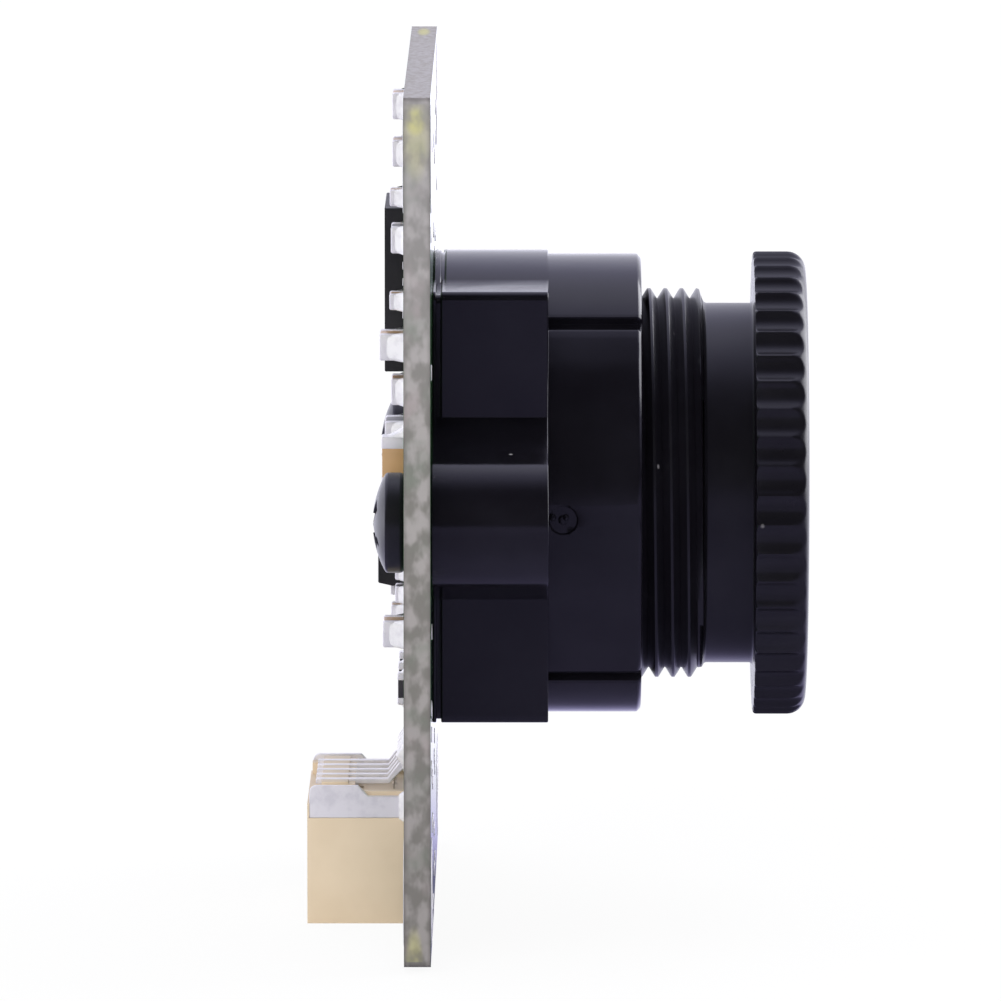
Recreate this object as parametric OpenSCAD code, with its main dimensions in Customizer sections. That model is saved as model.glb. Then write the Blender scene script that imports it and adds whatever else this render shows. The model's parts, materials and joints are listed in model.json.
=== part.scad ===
// Board camera module: a square circuit board with a screw-focus lens in a moulded holder on its
// front, and the wire socket, processor and small chips on its back.
// +X runs along the optical axis towards the subject, +Z is up, +Y completes the frame.
// The origin is on the optical axis at the board's front face, in the middle of its four holes.

/* [Board] */
// Side of the square board
board_side = 26; // [25.6:0.1:30]
// Thickness of the board
board_t = 0.8; // [0.6:0.1:1.2]
// Radius of the board's corners
board_corner_r = 0.3; // [0.2:0.1:1.6]
// Distance between neighbouring corner holes
hole_spacing = 22; // [21.6:0.1:22.4]
// Radius of the corner holes
hole_r = 1.1; // [0.8:0.05:1.2]

/* [Lens holder] */
// Side of the square base
base_side = 13.1; // [12.8:0.1:13.4]
// Height of the base above the board
base_h = 3.5; // [3.2:0.1:3.8]
// Radius on the base's long edges
base_edge_r = 0.25; // [0.1:0.05:0.6]
// Radius of the round collar
collar_r = 7.03; // [6.9:0.01:7.2]
// Length of the collar beyond the base
collar_h = 2.84; // [2.4:0.01:3.2]
// Distance between the two screw ears
ear_spacing = 20; // [19.6:0.1:20.4]
// Radius of the rounded ear ends
ear_r = 1.95; // [1.8:0.05:2.1]
// Angle at which an ear's flanks spread towards the base
ear_flare = 12.5; // [8:0.5:14]

/* [Lens barrel] */
// Outer radius of the fine lens thread
thread_r = 5.97; // [5.95:0.01:5.99]
// Pitch of the lens thread
thread_pitch = 0.5; // [0.5:0.05:0.6]
// Depth of the lens thread
thread_depth = 0.31; // [0.2:0.01:0.35]
// Radius of the plain neck
neck_r = 5.52; // [5.4:0.02:5.6]
// Radius of the knurled head
head_r = 7.1; // [6.9:0.05:7.3]
// Thickness of the knurled head
head_h = 1.6; // [1.4:0.05:1.9]
// Number of finger grooves round the head
knurls = 50; // [40:1:56]
// Radius of one finger groove
knurl_r = 0.62; // [0.55:0.01:0.65]
// Rounding of the head's front edge
head_round = 0.55; // [0.3:0.05:0.7]

/* [Sensor] */
// Side of the sensor package
sensor_side = 7.6; // [7:0.1:9]
// Thickness of the sensor package
sensor_h = 0.8; // [0.6:0.05:0.85]
// Side of the infrared filter
filter_side = 8.5; // [8.2:0.1:8.8]

/* [Screws] */
// Radius of the screw heads
screw_head_r = 1.5; // [1.3:0.05:1.7]
// Height of the screw heads
screw_head_h = 0.95; // [0.8:0.05:1.2]
// Radius of the screw shanks
screw_r = 0.8; // [0.7:0.02:0.82]
// Length of the screw shanks
screw_len = 3.5; // [2.5:0.1:3.6]

/* [Wire socket] */
// Number of contacts
contacts = 5; // [2:1:8]
// Distance between neighbouring contacts
contact_pitch = 1; // [1:0.05:1.25]
// Height of the socket above the board
socket_h = 3.05; // [2.8:0.05:3.3]
// Depth of the socket from its mouth to its back
socket_depth = 4.25; // [4:0.05:4.5]

/* [Hidden] */

board_back = -board_t;
fine = 96;
small = 32;
overlap = 0.4;                      // how far a cut runs past the face it opens
collar_front = base_h + collar_h;

// Seats inside the lens holder, from the board forwards
cavity_side = 10.5;
cavity_h = 1.25;
filter_t = 0.3;
filter_gap = 0.05;
filter_front = cavity_h + filter_t;
ledge_front = 1.95;
ledge_hole_r = 4;
bore_r = thread_r + 0.06;

// Stations of the barrel along the axis
barrel_rear = 3.1;
thread_end = 8.35;
last_crest = 8.2;
head_back = 9.78;
head_front = head_back + head_h;

// Seats inside the barrel
front_bore_r = 4.5;
front_seat = 8.4;
rear_seat = 7.6;
seat_hole_r = 3.3;
rear_bore_r = 3.8;
lens_gap = 0.03;                    // radial gap between a lens element and its bore
front_rim = 10.2;
front_ring_top = 10.95;
front_dome_edge = 3.9;
stop_front = 6.5;
stop_t = 0.12;
spacer_front = stop_front - stop_t;
spacer_rear = 5;
rear_rim = 3.9;
rear_ring_bottom = 3.3;

// Places on the back of the board
socket_mouth = -board_side / 2 - 0.15;
socket_back = socket_mouth + socket_depth;
socket_half = contact_pitch * (contacts - 1) / 2 + 1.5;
socket_far = board_back - socket_h;
tab_t = 0.2;
processor_at = [0, 6.2];
processor_side = 5;
memory_at = [-4.5, -0.2];
regulator_at = [0.6, -2.3];
crystal_at = [4.4, -2.2];
inductor_at = [-0.1, 1.59];

// Chip sizes: length, width, height
CAP_SMALL = [1, 0.5, 0.5];
CAP_FLAT = [1.6, 0.8, 0.45];
CAP_LARGE = [1.6, 0.8, 0.8];
CAP_MEDIUM = [1.6, 0.8, 0.72];
RES_SMALL = [1, 0.5, 0.35];
RES_LARGE = [1.6, 0.8, 0.45];

// Chips on the back: place across and up the board, size, and whether the long side lies across
CAPACITORS = [
    [-1, 11.75, CAP_FLAT, true], [-1, 10.3, CAP_FLAT, true], [-4, 9.2, CAP_SMALL, true],
    [-5, 4.8, CAP_LARGE, true], [-4.6, 3.4, CAP_FLAT, true], [-7.2, 1.5, CAP_MEDIUM, false],
    [-1.6, -3.78, CAP_SMALL, true], [-3.8, -4.1, CAP_MEDIUM, true], [-5, 6.15, CAP_SMALL, true],
    [4.6, 7.4, CAP_SMALL, false]];
RESISTORS = [
    [-5, 8.05, RES_LARGE, true], [4.6, 4.4, RES_SMALL, false], [-4, -2.2, RES_SMALL, true],
    [-4, -2.9, RES_SMALL, true], [1.6, -6.6, RES_SMALL, false], [4, -6.6, RES_SMALL, false],
    [6.4, -6.6, RES_SMALL, false]];

// Depth of a spherical surface of radius surface_r at the distance r from its axis
function sag(r, surface_r) = surface_r - sqrt(surface_r * surface_r - r * r);

// Points [radius, axial place] of a spherical cap, from its edge to its vertex
function cap_profile(edge_r, surface_r, edge_x, bulge, steps = 10) =
    [for (i = [0:steps]) let (r = edge_r * (1 - i / steps))
        [r, edge_x + bulge * (sag(edge_r, surface_r) - sag(r, surface_r))]];

// Points of a quarter round about a centre, from one angle to another
function arc(centre, r, from, to, steps = 6) =
    [for (i = [0:steps]) let (a = from + (to - from) * i / steps)
        [centre[0] + r * cos(a), centre[1] + r * sin(a)]];

function reversed(points) = [for (i = [len(points) - 1:-1:0]) points[i]];

// A solid of revolution about the optical axis, from points [radius, axial place]
module turned(profile, facets = fine) {
    rotate([0, 90, 0])
        rotate_extrude($fn = facets)
            polygon(profile);
}

// A flat outline, drawn across and up the board, raised from one axial place to another
module along_x(from, to) {
    translate([from, 0, 0])
        rotate([90, 0, 90])
            linear_extrude(to - from)
                children();
}

// A flat outline, drawn along the axis and up the board, raised across the board
module along_y(from, to) {
    translate([0, to, 0])
        rotate([90, 0, 0])
            linear_extrude(to - from)
                children();
}

// A straight round hole or pin along the axis
module round_x(r, from, to, at = [0, 0]) {
    translate([from, at[0], at[1]])
        rotate([0, 90, 0])
            cylinder(h = to - from, r = r, $fn = small);
}

// A rectangle with true round corners
module rounded_rectangle(width, height, r) {
    square([width - 2 * r, height], center = true);
    square([width, height - 2 * r], center = true);
    for (x = [-1, 1], y = [-1, 1])
        translate([x * (width / 2 - r), y * (height / 2 - r)])
            circle(r, $fn = small);
}

// A block on the back of the board, given its place, its size and its height off the board
module back_block(at, width, height, thick, lift = 0) {
    translate([board_back - lift - thick, at[0] - width / 2, at[1] - height / 2])
        cube([thick, width, height]);
}

module circuit_board() {
    color("darkolivegreen")
        difference() {
            along_x(board_back, 0)
                rounded_rectangle(board_side, board_side, board_corner_r);
            for (y = [-1, 1], z = [-1, 1])
                round_x(hole_r, board_back - overlap, overlap, [y, z] * hole_spacing / 2);
            for (y = [-1, 1])
                round_x(screw_r + 0.15, board_back - overlap, overlap, [y * ear_spacing / 2, 0]);
        }
}

// One ear's outline: flanks that spread from the round end until they meet the base
module ear_outline() {
    ear_y = ear_spacing / 2;
    root_y = base_side / 2 - 0.5;
    tip = [ear_y + ear_r * sin(ear_flare), ear_r * cos(ear_flare)];
    root_z = tip[1] + (tip[0] - root_y) * tan(ear_flare);
    translate([ear_y, 0])
        circle(ear_r, $fn = fine);
    polygon([[root_y, -root_z], [root_y, root_z], tip, [tip[0], -tip[1]]]);
}

// Outline of the collar: two lengthwise notches and one flat on each side
module collar_outline() {
    notch_w = 0.5;
    notch_depth = 0.3;
    notch_angle = 50.2;
    flat_from = 38.8;
    flat_to = 45;
    flat_reach = collar_r * cos((flat_to - flat_from) / 2);
    difference() {
        circle(collar_r, $fn = fine);
        for (side = [0, 180], way = [-1, 1])
            rotate(side + way * notch_angle)
                translate([collar_r - notch_depth, -notch_w / 2])
                    square([1, notch_w]);
        for (side = [0, 1])
            mirror([side, 0])
                rotate((flat_from + flat_to) / 2)
                    translate([flat_reach, -1])
                        square([1, 2]);
    }
}

module lens_holder() {
    groove_x = 0.12;
    groove_w = 0.14;
    groove_depth = 0.1;
    pilot_depth = 3;
    edge = 0.12;
    color("#1c1a20")
        difference() {
            union() {
                along_x(0, groove_x)
                    rounded_rectangle(base_side, base_side, base_edge_r);
                along_x(0, base_h)
                    rounded_rectangle(base_side - 2 * groove_depth, base_side - 2 * groove_depth,
                        base_edge_r);
                along_x(groove_x + groove_w, base_h)
                    rounded_rectangle(base_side, base_side, base_edge_r);
                for (side = [0, 1])
                    mirror([0, side, 0])
                        along_x(0, base_h)
                            ear_outline();
                intersection() {
                    along_x(base_h - overlap, collar_front)
                        collar_outline();
                    turned([[0, base_h - overlap], [collar_r, base_h - overlap],
                        [collar_r, collar_front - edge], [collar_r - edge, collar_front],
                        [0, collar_front]]);
                }
                gate_stub();
            }
            gate_recess();
            along_x(-overlap, cavity_h)
                square(cavity_side, center = true);
            along_x(0, filter_front)
                square(filter_side + 2 * filter_gap, center = true);
            turned([[0, 0], [ledge_hole_r, 0], [ledge_hole_r, ledge_front], [bore_r, ledge_front],
                [bore_r, collar_front - 2 * edge], [bore_r + 2 * edge, collar_front],
                [bore_r + 2 * edge, collar_front + overlap], [0, collar_front + overlap]]);
            for (y = [-1, 1])
                round_x(screw_r + 0.02, -overlap, pilot_depth, [y * ear_spacing / 2, 0]);
        }
}

// Shallow dish left by the moulding gate on one side of the collar
gate_at = [base_h + 0.45, -0.3];
gate_r = 0.42;
module gate_recess() {
    translate([gate_at[0], -collar_r + 0.1, gate_at[1]])
        rotate([90, 0, 0])
            difference() {
                cylinder(h = overlap, r = gate_r, $fn = small);
                translate([0, 0, -overlap])
                    cylinder(h = 3 * overlap, r = gate_r / 3, $fn = small);
            }
}

module gate_stub() {
    translate([gate_at[0], -collar_r + overlap, gate_at[1]])
        rotate([90, 0, 0])
            cylinder(h = overlap - 0.02, r = gate_r / 3, $fn = small);
}

module holder_screws() {
    rim = 0.55;
    dome_r = (screw_head_r * screw_head_r + pow(screw_head_h - rim, 2)) / (2 * (screw_head_h - rim));
    tip = 0.5;
    recess_w = 0.36;
    recess_depth = 0.5;
    color("#17161a")
        for (y = [-1, 1])
            translate([board_back, y * ear_spacing / 2, 0])
                difference() {
                    turned(concat([[0, screw_len], [screw_r / 3, screw_len], [screw_r, screw_len - tip],
                        [screw_r, 0], [screw_head_r - 0.08, 0], [screw_head_r, -0.08]],
                        cap_profile(screw_head_r, dome_r, -rim, -1)), small);
                    for (turn = [0, 90])
                        rotate([turn + 45, 0, 0])
                            translate([-screw_head_h - overlap, -screw_head_r * 0.55, -recess_w / 2])
                                cube([recess_depth + overlap, screw_head_r * 1.1, recess_w]);
                }
}

module image_sensor() {
    window = sensor_side - 1.4;
    color("#3a3f38")
        difference() {
            along_x(0, sensor_h)
                square(sensor_side, center = true);
            along_x(sensor_h - 0.25, sensor_h + overlap)
                square(window, center = true);
        }
}

module sensor_glass() {
    color("#5c7a78")
        along_x(sensor_h, sensor_h + 0.35)
            square(sensor_side - 0.3, center = true);
}

module ir_filter() {
    color("#a8524e")
        along_x(cavity_h, filter_front)
            square(filter_side, center = true);
}

// Outline of the threaded stretch: one crest and one root for each turn, from the rear forwards
function thread_profile() =
    let (turns = floor((last_crest - barrel_rear - 0.4) / thread_pitch))
    [for (i = [turns:-1:0]) each [
        [thread_r, last_crest - i * thread_pitch - thread_pitch / 16],
        [thread_r, last_crest - i * thread_pitch + thread_pitch / 16],
        [thread_r - thread_depth, last_crest - (i - 0.5) * thread_pitch]]];

module lens_barrel() {
    knurl_centre = head_r - 0.17 + knurl_r;
    outside = concat(
        [[rear_bore_r, barrel_rear], [thread_r - thread_depth, barrel_rear]],
        thread_profile(),
        [[neck_r, thread_end + 0.1], [neck_r, head_back], [head_r - 0.1, head_back], [head_r, head_back + 0.1]],
        arc([head_r - head_round, head_front - head_round], head_round, 0, 90));
    inside = [[front_bore_r + 0.5, head_front], [front_bore_r, front_ring_top], [front_bore_r, front_seat],
        [seat_hole_r, front_seat], [seat_hole_r, rear_seat], [rear_bore_r, rear_seat]];
    color("#1f1d23")
        difference() {
            turned(concat(outside, inside));
            for (i = [0:knurls - 1])
                rotate([i * 360 / knurls, 0, 0])
                    round_x(knurl_r, head_back - overlap, head_front + overlap, [0, knurl_centre]);
        }
}

// A threaded retaining ring with two slots for a spanner
module slotted_ring(outer_r, inner_r, flare, from, to, slot_face) {
    slot_w = 0.7;
    slot_depth = 0.35;
    difference() {
        turned([[outer_r, from], [outer_r, to], [inner_r + max(flare, 0), to],
            [inner_r + max(-flare, 0), from]]);
        translate([slot_face - slot_depth, -slot_w / 2, -outer_r - 1])
            cube([2 * slot_depth, slot_w, 2 * outer_r + 2]);
    }
}

module front_ring() {
    color("#242229")
        slotted_ring(front_bore_r - 0.02, front_dome_edge + 0.1, 0.2, front_rim, front_ring_top, front_ring_top);
}

module rear_ring() {
    color("#242229")
        slotted_ring(rear_bore_r - 0.02, 3, -0.2, rear_ring_bottom, rear_rim, rear_ring_bottom);
}

module front_element() {
    rim_r = front_bore_r - lens_gap;
    hollow_edge = 3.2;
    color("#7d6fa8")
        turned(concat([[rim_r, front_seat], [rim_r, front_rim]],
            cap_profile(front_dome_edge, 9.5, front_rim, 1),
            reversed(cap_profile(hollow_edge, 4.5, front_seat, 1))));
}

module middle_element() {
    rim_r = rear_bore_r - lens_gap;
    color("#8fa79a")
        turned(concat([[rim_r, stop_front], [rim_r, rear_seat]],
            cap_profile(seat_hole_r - 0.1, 7, rear_seat, 1),
            [[0, stop_front]]));
}

module aperture_stop() {
    color("#101012")
        turned([[1.3, spacer_front + stop_t / 2], [1.4, spacer_front], [rear_bore_r - lens_gap, spacer_front],
            [rear_bore_r - lens_gap, stop_front], [1.4, stop_front]]);
}

module lens_spacer() {
    color("#141417")
        turned([[3.2, spacer_rear], [rear_bore_r - lens_gap, spacer_rear],
            [rear_bore_r - lens_gap, spacer_front], [2.9, spacer_front], [2.9, spacer_front - 0.3]]);
}

module rear_element() {
    rim_r = rear_bore_r - lens_gap;
    edge_r = 2.9;
    color("#86a0ae")
        turned(concat([[rim_r, rear_rim], [rim_r, spacer_rear]],
            cap_profile(edge_r, 8, spacer_rear, -1),
            reversed(cap_profile(edge_r, 7, rear_rim, -1))));
}

// The tab's outline beside the housing: a tall part at the outer side and a lower part by the board
module tab_outline() {
    foot = 1;
    step = 0.32;
    round_r = 0.22;
    tall = 1.5;
    low_x = board_back;
    high_x = socket_far + 0.06;
    polygon(concat(
        [[low_x, socket_back - foot], [low_x, socket_back - step - round_r]],
        arc([low_x - round_r, socket_back - step - round_r], round_r, 0, 90),
        [[high_x + tall + 0.3, socket_back - step], [high_x + tall, socket_back]],
        arc([high_x + round_r, socket_back - round_r], round_r, 90, 180),
        [[high_x, socket_back - foot]]));
}

module socket_housing() {
    wall = 0.45;
    mouth_from = socket_far + wall;
    mouth_to = board_back - 0.6;
    mouth_depth = 3.1;
    floor_z = socket_back - 0.55;
    rib_w = 0.56;
    rib_from = socket_far + 0.65;
    rib_to = rib_from + 0.8;
    standoff = 0.06;
    key_w = 0.6;
    color("#e6d7bb")
        difference() {
            union() {
                translate([socket_far, -socket_half, socket_mouth])
                    cube([socket_h - standoff, 2 * socket_half, floor_z - socket_mouth]);
                for (y = [-1, 1])
                    translate([board_back - 1, y * (socket_half - 0.5) - 0.5, socket_mouth])
                        cube([1, 1, 0.65]);
                for (y = [-1, 1])
                    translate([socket_far + 0.05, y * (socket_half - 0.45) - 0.25, floor_z - overlap])
                        cube([socket_h - 0.1 - standoff, 0.5, 0.35 + overlap]);
                translate([board_back - 1.35, -socket_half + 0.5, floor_z - overlap])
                    cube([0.9, 2 * socket_half - 1, 0.1 + overlap]);
                for (i = [0:contacts])
                    translate([rib_from, (i - contacts / 2) * contact_pitch - rib_w / 2, floor_z - overlap])
                        cube([rib_to - rib_from, rib_w, 0.5 + overlap]);
            }
            // the mouth that takes the wire plug, with a key slot in its outer wall
            translate([mouth_from, -socket_half + 0.6, socket_mouth - overlap])
                cube([mouth_to - mouth_from, 2 * socket_half - 1.2, mouth_depth + overlap]);
            for (y = [-1, 1])
                translate([socket_far - overlap, y * (socket_half - 1.6) - key_w / 2, socket_mouth - overlap])
                    cube([wall + 2 * overlap, key_w, 1.5 + overlap]);
            // slots for the contacts through the back wall
            for (i = [0:contacts - 1])
                translate([contact_x - contact_t / 2, contact_y(i) - contact_w / 2, socket_mouth + 1])
                    cube([contact_t, contact_w, socket_depth]);
            for (i = [0:contacts - 1])
                translate([socket_far + 0.22, contact_y(i) - contact_w / 2, floor_z - 0.3])
                    cube([contact_x - socket_far, contact_w, 1]);
            // seats of the solder tabs on the two ends
            for (side = [0, 1])
                mirror([0, side, 0])
                    along_y(socket_half - tab_t, socket_half + overlap)
                        tab_outline();
        }
}

// One contact's path: pin in the mouth, through the back wall, over to the board and down to its pad
contact_t = 0.16;
contact_w = 0.3;
contact_x = socket_far + 1.45;
function contact_y(i) = (i - (contacts - 1) / 2) * contact_pitch;

module contact_outline() {
    pin_tip = socket_mouth + 1.3;
    top = socket_back + 0.02;
    bend_x = board_back - 0.62;
    foot_z = socket_back + 0.6;
    foot_end = foot_z + 0.42;
    foot_x = board_back - contact_t;
    polygon([
        [contact_x - contact_t / 2, pin_tip + 0.1], [contact_x, pin_tip], [contact_x + contact_t / 2, pin_tip + 0.1],
        [contact_x + contact_t / 2, top - contact_t], [bend_x + 0.05, top - contact_t],
        [board_back - 0.02, foot_z - contact_t], [board_back, foot_z], [board_back, foot_end],
        [foot_x, foot_end], [foot_x, foot_z + 0.02], [bend_x, top],
        [socket_far + 0.24, top], [socket_far + 0.24, top - contact_t],
        [contact_x - contact_t / 2, top - contact_t]]);
}

module socket_contacts() {
    color("#c9c4c4")
        for (i = [0:contacts - 1])
            along_y(contact_y(i) - contact_w / 2, contact_y(i) + contact_w / 2)
                contact_outline();
}

module socket_tabs() {
    color("#c6c1c8")
        for (side = [0, 1])
            mirror([0, side, 0])
                along_y(socket_half - tab_t, socket_half)
                    tab_outline();
}

// Flat pads round the edge of a square or oblong package, as blocks half sunk in its lower edge
module edge_pads(at, width, height, pads_across, pads_up, pitch) {
    pad_w = pitch * 0.48;
    pad_len = 0.36;
    pad_t = 0.14;
    proud = 0.04;
    for (i = [0:1:pads_across - 1], side = [-1, 1])
        back_block([at[0] + (i - (pads_across - 1) / 2) * pitch,
            at[1] + side * (height / 2 - pad_len / 2 + proud)], pad_w, pad_len, pad_t);
    for (i = [0:1:pads_up - 1], side = [-1, 1])
        back_block([at[0] + side * (width / 2 - pad_len / 2 + proud),
            at[1] + (i - (pads_up - 1) / 2) * pitch], pad_len, pad_w, pad_t);
}

// A flat moulded package with its pads let into its lower edge
module flat_package(at, width, height, thick, pads_across, pads_up, pitch) {
    standoff = 0.03;
    difference() {
        back_block(at, width, height, thick, standoff);
        edge_pads(at, width, height, pads_across, pads_up, pitch);
        round_x(0.2, board_back - standoff - thick - overlap, board_back - standoff - thick + 0.04,
            [at[0] - width / 2 + 0.5, at[1] + height / 2 - 0.5]);
    }
}

module processor_chip() {
    color("#26252b")
        flat_package(processor_at, processor_side, processor_side, 0.65, 8, 8, 0.5);
}

module processor_pads() {
    color("#c9c9cc")
        edge_pads(processor_at, processor_side, processor_side, 8, 8, 0.5);
}

module memory_chip() {
    color("#26252b")
        flat_package(memory_at, 3, 2, 0.55, 4, 0, 0.5);
}

module memory_pads() {
    color("#c9c9cc")
        edge_pads(memory_at, 3, 2, 4, 0, 0.5);
}

module voltage_regulator() {
    width = 2.9;
    height = 1.6;
    lift = 0.06;
    thick = 0.85;
    waist = 0.4;
    draft = 0.1;
    color("#242329")
        along_y(regulator_at[0] - width / 2, regulator_at[0] + width / 2)
            translate([board_back - lift, regulator_at[1]])
                polygon([[0, -height / 2 + draft], [-waist, -height / 2], [-thick, -height / 2 + draft],
                    [-thick, height / 2 - draft], [-waist, height / 2], [0, height / 2 - draft]]);
}

// Gull-wing leads: three on the lower side and two on the upper side
module regulator_leads() {
    half = 0.8;
    t = 0.13;
    w = 0.4;
    root = -0.46;
    color("#c9c9cc")
        for (lead = [[-0.95, 1], [0, 1], [0.95, 1], [-0.95, -1], [0.95, -1]])
            along_y(regulator_at[0] + lead[0] - w / 2, regulator_at[0] + lead[0] + w / 2)
                translate([board_back, regulator_at[1]])
                    mirror([0, lead[1] > 0 ? 1 : 0])
                        polygon([[root - t / 2, half - 0.02], [root - t / 2, half + 0.3], [-t, half + 0.36],
                            [-t, half + 0.62], [0, half + 0.62], [0, half + 0.24],
                            [root + t / 2, half + 0.18], [root + t / 2, half - 0.02]]);
}

module crystal_base() {
    color("#4b4338")
        back_block(crystal_at, 2.5, 2, 0.4);
}

module crystal_lid() {
    color("#c4c2c0")
        along_x(board_back - 0.62, board_back - 0.4)
            translate(crystal_at)
                rounded_rectangle(2.2, 1.7, 0.2);
}

// A ceramic chip: the body with its two wrapped metal ends a little proud of it
module chip(row) {
    length = row[2][0];
    width = row[2][1];
    height = row[2][2];
    end_len = length * 0.24;
    proud = 0.02;
    across = row[3];
    translate([board_back, row[0], row[1]])
        rotate([across ? 90 : 0, 0, 0]) {
            translate([-height + proud, -width / 2 + proud, -length / 2 + proud])
                cube([height - 2 * proud, width - 2 * proud, length - 2 * proud]);
            for (side = [-1, 1])
                translate([-height, -width / 2, side * (length - end_len) / 2 - end_len / 2])
                    cube([height, width, end_len]);
        }
}

module capacitor(number) {
    color("#a98a66")
        chip(CAPACITORS[number - 1]);
}

module resistor(number) {
    color("#2b2a2e")
        chip(RESISTORS[number - 1]);
}

module inductor() {
    color("#8f8d8c")
        chip([inductor_at[0], inductor_at[1], [2, 0.8, 0.7], true]);
}

circuit_board();
lens_holder();
holder_screws();
image_sensor();
sensor_glass();
ir_filter();
lens_barrel();
front_ring();
front_element();
middle_element();
aperture_stop();
lens_spacer();
rear_element();
rear_ring();
socket_housing();
socket_contacts();
socket_tabs();
processor_chip();
processor_pads();
memory_chip();
memory_pads();
voltage_regulator();
regulator_leads();
crystal_base();
crystal_lid();
inductor();
capacitor(1);  // capacitor_1
capacitor(2);  // capacitor_2
capacitor(3);  // capacitor_3
capacitor(4);  // capacitor_4
capacitor(5);  // capacitor_5
capacitor(6);  // capacitor_6
capacitor(7);  // capacitor_7
capacitor(8);  // capacitor_8
capacitor(9);  // capacitor_9
capacitor(10);  // capacitor_10
resistor(1);  // resistor_1
resistor(2);  // resistor_2
resistor(3);  // resistor_3
resistor(4);  // resistor_4
resistor(5);  // resistor_5
resistor(6);  // resistor_6
resistor(7);  // resistor_7
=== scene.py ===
"""Looks of a small board camera module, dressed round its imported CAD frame.

The frame gives every CAD node at its place, in metres, with +X along the optical axis. Each class below
builds the visible form of one sub-assembly, gives it its finish and hands it to the CAD body that carries it.
"""

import json
import logging
import math
import random
from dataclasses import dataclass
from enum import Enum
from typing import Callable, Iterable, Sequence

import bmesh
import bpy
from mathutils import Matrix, Vector


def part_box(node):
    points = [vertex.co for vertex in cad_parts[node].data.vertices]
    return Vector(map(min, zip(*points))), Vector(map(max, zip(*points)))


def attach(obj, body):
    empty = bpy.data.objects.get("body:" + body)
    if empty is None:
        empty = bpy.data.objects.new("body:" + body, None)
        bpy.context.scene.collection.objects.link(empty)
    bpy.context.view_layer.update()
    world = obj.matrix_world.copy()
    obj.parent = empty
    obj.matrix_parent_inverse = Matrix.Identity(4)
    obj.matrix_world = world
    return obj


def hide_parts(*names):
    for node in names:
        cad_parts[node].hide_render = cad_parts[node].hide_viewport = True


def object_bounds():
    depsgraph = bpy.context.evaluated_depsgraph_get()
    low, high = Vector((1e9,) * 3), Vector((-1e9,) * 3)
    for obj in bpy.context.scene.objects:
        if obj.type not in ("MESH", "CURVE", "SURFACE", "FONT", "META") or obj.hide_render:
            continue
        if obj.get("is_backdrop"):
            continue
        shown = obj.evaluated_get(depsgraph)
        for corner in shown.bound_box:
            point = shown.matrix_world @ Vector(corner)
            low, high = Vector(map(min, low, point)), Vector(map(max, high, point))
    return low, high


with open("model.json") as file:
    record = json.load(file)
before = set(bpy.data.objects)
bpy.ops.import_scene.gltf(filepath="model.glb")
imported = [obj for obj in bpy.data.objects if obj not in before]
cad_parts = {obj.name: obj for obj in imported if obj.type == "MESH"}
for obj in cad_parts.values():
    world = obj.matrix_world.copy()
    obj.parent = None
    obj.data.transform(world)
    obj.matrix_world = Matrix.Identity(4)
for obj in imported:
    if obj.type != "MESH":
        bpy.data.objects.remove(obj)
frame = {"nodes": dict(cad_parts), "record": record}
LOG = logging.getLogger("camera_module")
MM = 0.001


class Body(str, Enum):
    """The CAD bodies that pieces ride on."""

    BASE = "base"
    OPTICS = "optics"
    BARREL = "barrel"


# ---------------------------------------------------------------------------------------------------------
# Shader maths
# ---------------------------------------------------------------------------------------------------------


class Signal:
    """A number socket that can be used in Python arithmetic."""

    def __init__(self, sheet: "Sheet", socket: bpy.types.NodeSocket) -> None:
        """Wraps a socket.

        Args:
            sheet: The material sheet that the socket belongs to.
            socket: The output socket.
        """
        self.sheet = sheet
        self.socket = socket

    def _math(self, operation: str, *values: "Signal | float") -> "Signal":
        """Adds one Math node.

        Args:
            operation: The node's operation.
            values: Its inputs, in order.

        Returns:
            The node's result.
        """
        node = self.sheet.node("ShaderNodeMath", {"operation": operation}, dict(enumerate(values)))
        return Signal(self.sheet, node.outputs[0])

    def __add__(self, other: "Signal | float") -> "Signal":
        """self + other."""
        return self._math("ADD", self, other)

    def __sub__(self, other: "Signal | float") -> "Signal":
        """self - other."""
        return self._math("SUBTRACT", self, other)

    def __rsub__(self, other: float) -> "Signal":
        """other - self."""
        return self._math("SUBTRACT", other, self)

    def __mul__(self, other: "Signal | float") -> "Signal":
        """self * other."""
        return self._math("MULTIPLY", self, other)

    def __abs__(self) -> "Signal":
        """The distance of self from zero."""
        return self._math("ABSOLUTE", self)

    def larger(self, other: "Signal | float") -> "Signal":
        """The larger of self and other."""
        return self._math("MAXIMUM", self, other)

    def snapped(self, pitch: float) -> "Signal":
        """self, taken down to a whole multiple of the pitch."""
        return self._math("SNAP", self, pitch)

    def turned_from(self, other: "Signal") -> "Signal":
        """The angle, in radians, whose sine runs with self and whose cosine runs with other."""
        return self._math("ARCTAN2", self, other)

    def step(self, low: float, high: float) -> "Signal":
        """A smooth step.

        Args:
            low: The value at which the result leaves 0.
            high: The value at which it reaches 1; below low, the step falls instead.

        Returns:
            The step, from 0 to 1.
        """
        falls = high < low
        span = (high, low) if falls else (low, high)
        ends = (1.0, 0.0) if falls else (0.0, 1.0)
        node = self.sheet.node("ShaderNodeMapRange", {"interpolation_type": "SMOOTHSTEP", "clamp": True},
                               {0: self, 1: span[0], 2: span[1], 3: ends[0], 4: ends[1]})
        return Signal(self.sheet, node.outputs[0])


Colour = tuple[float, float, float]
Point = tuple[float, float]
Value = Signal | float | Sequence[float] | bpy.types.NodeSocket


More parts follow.
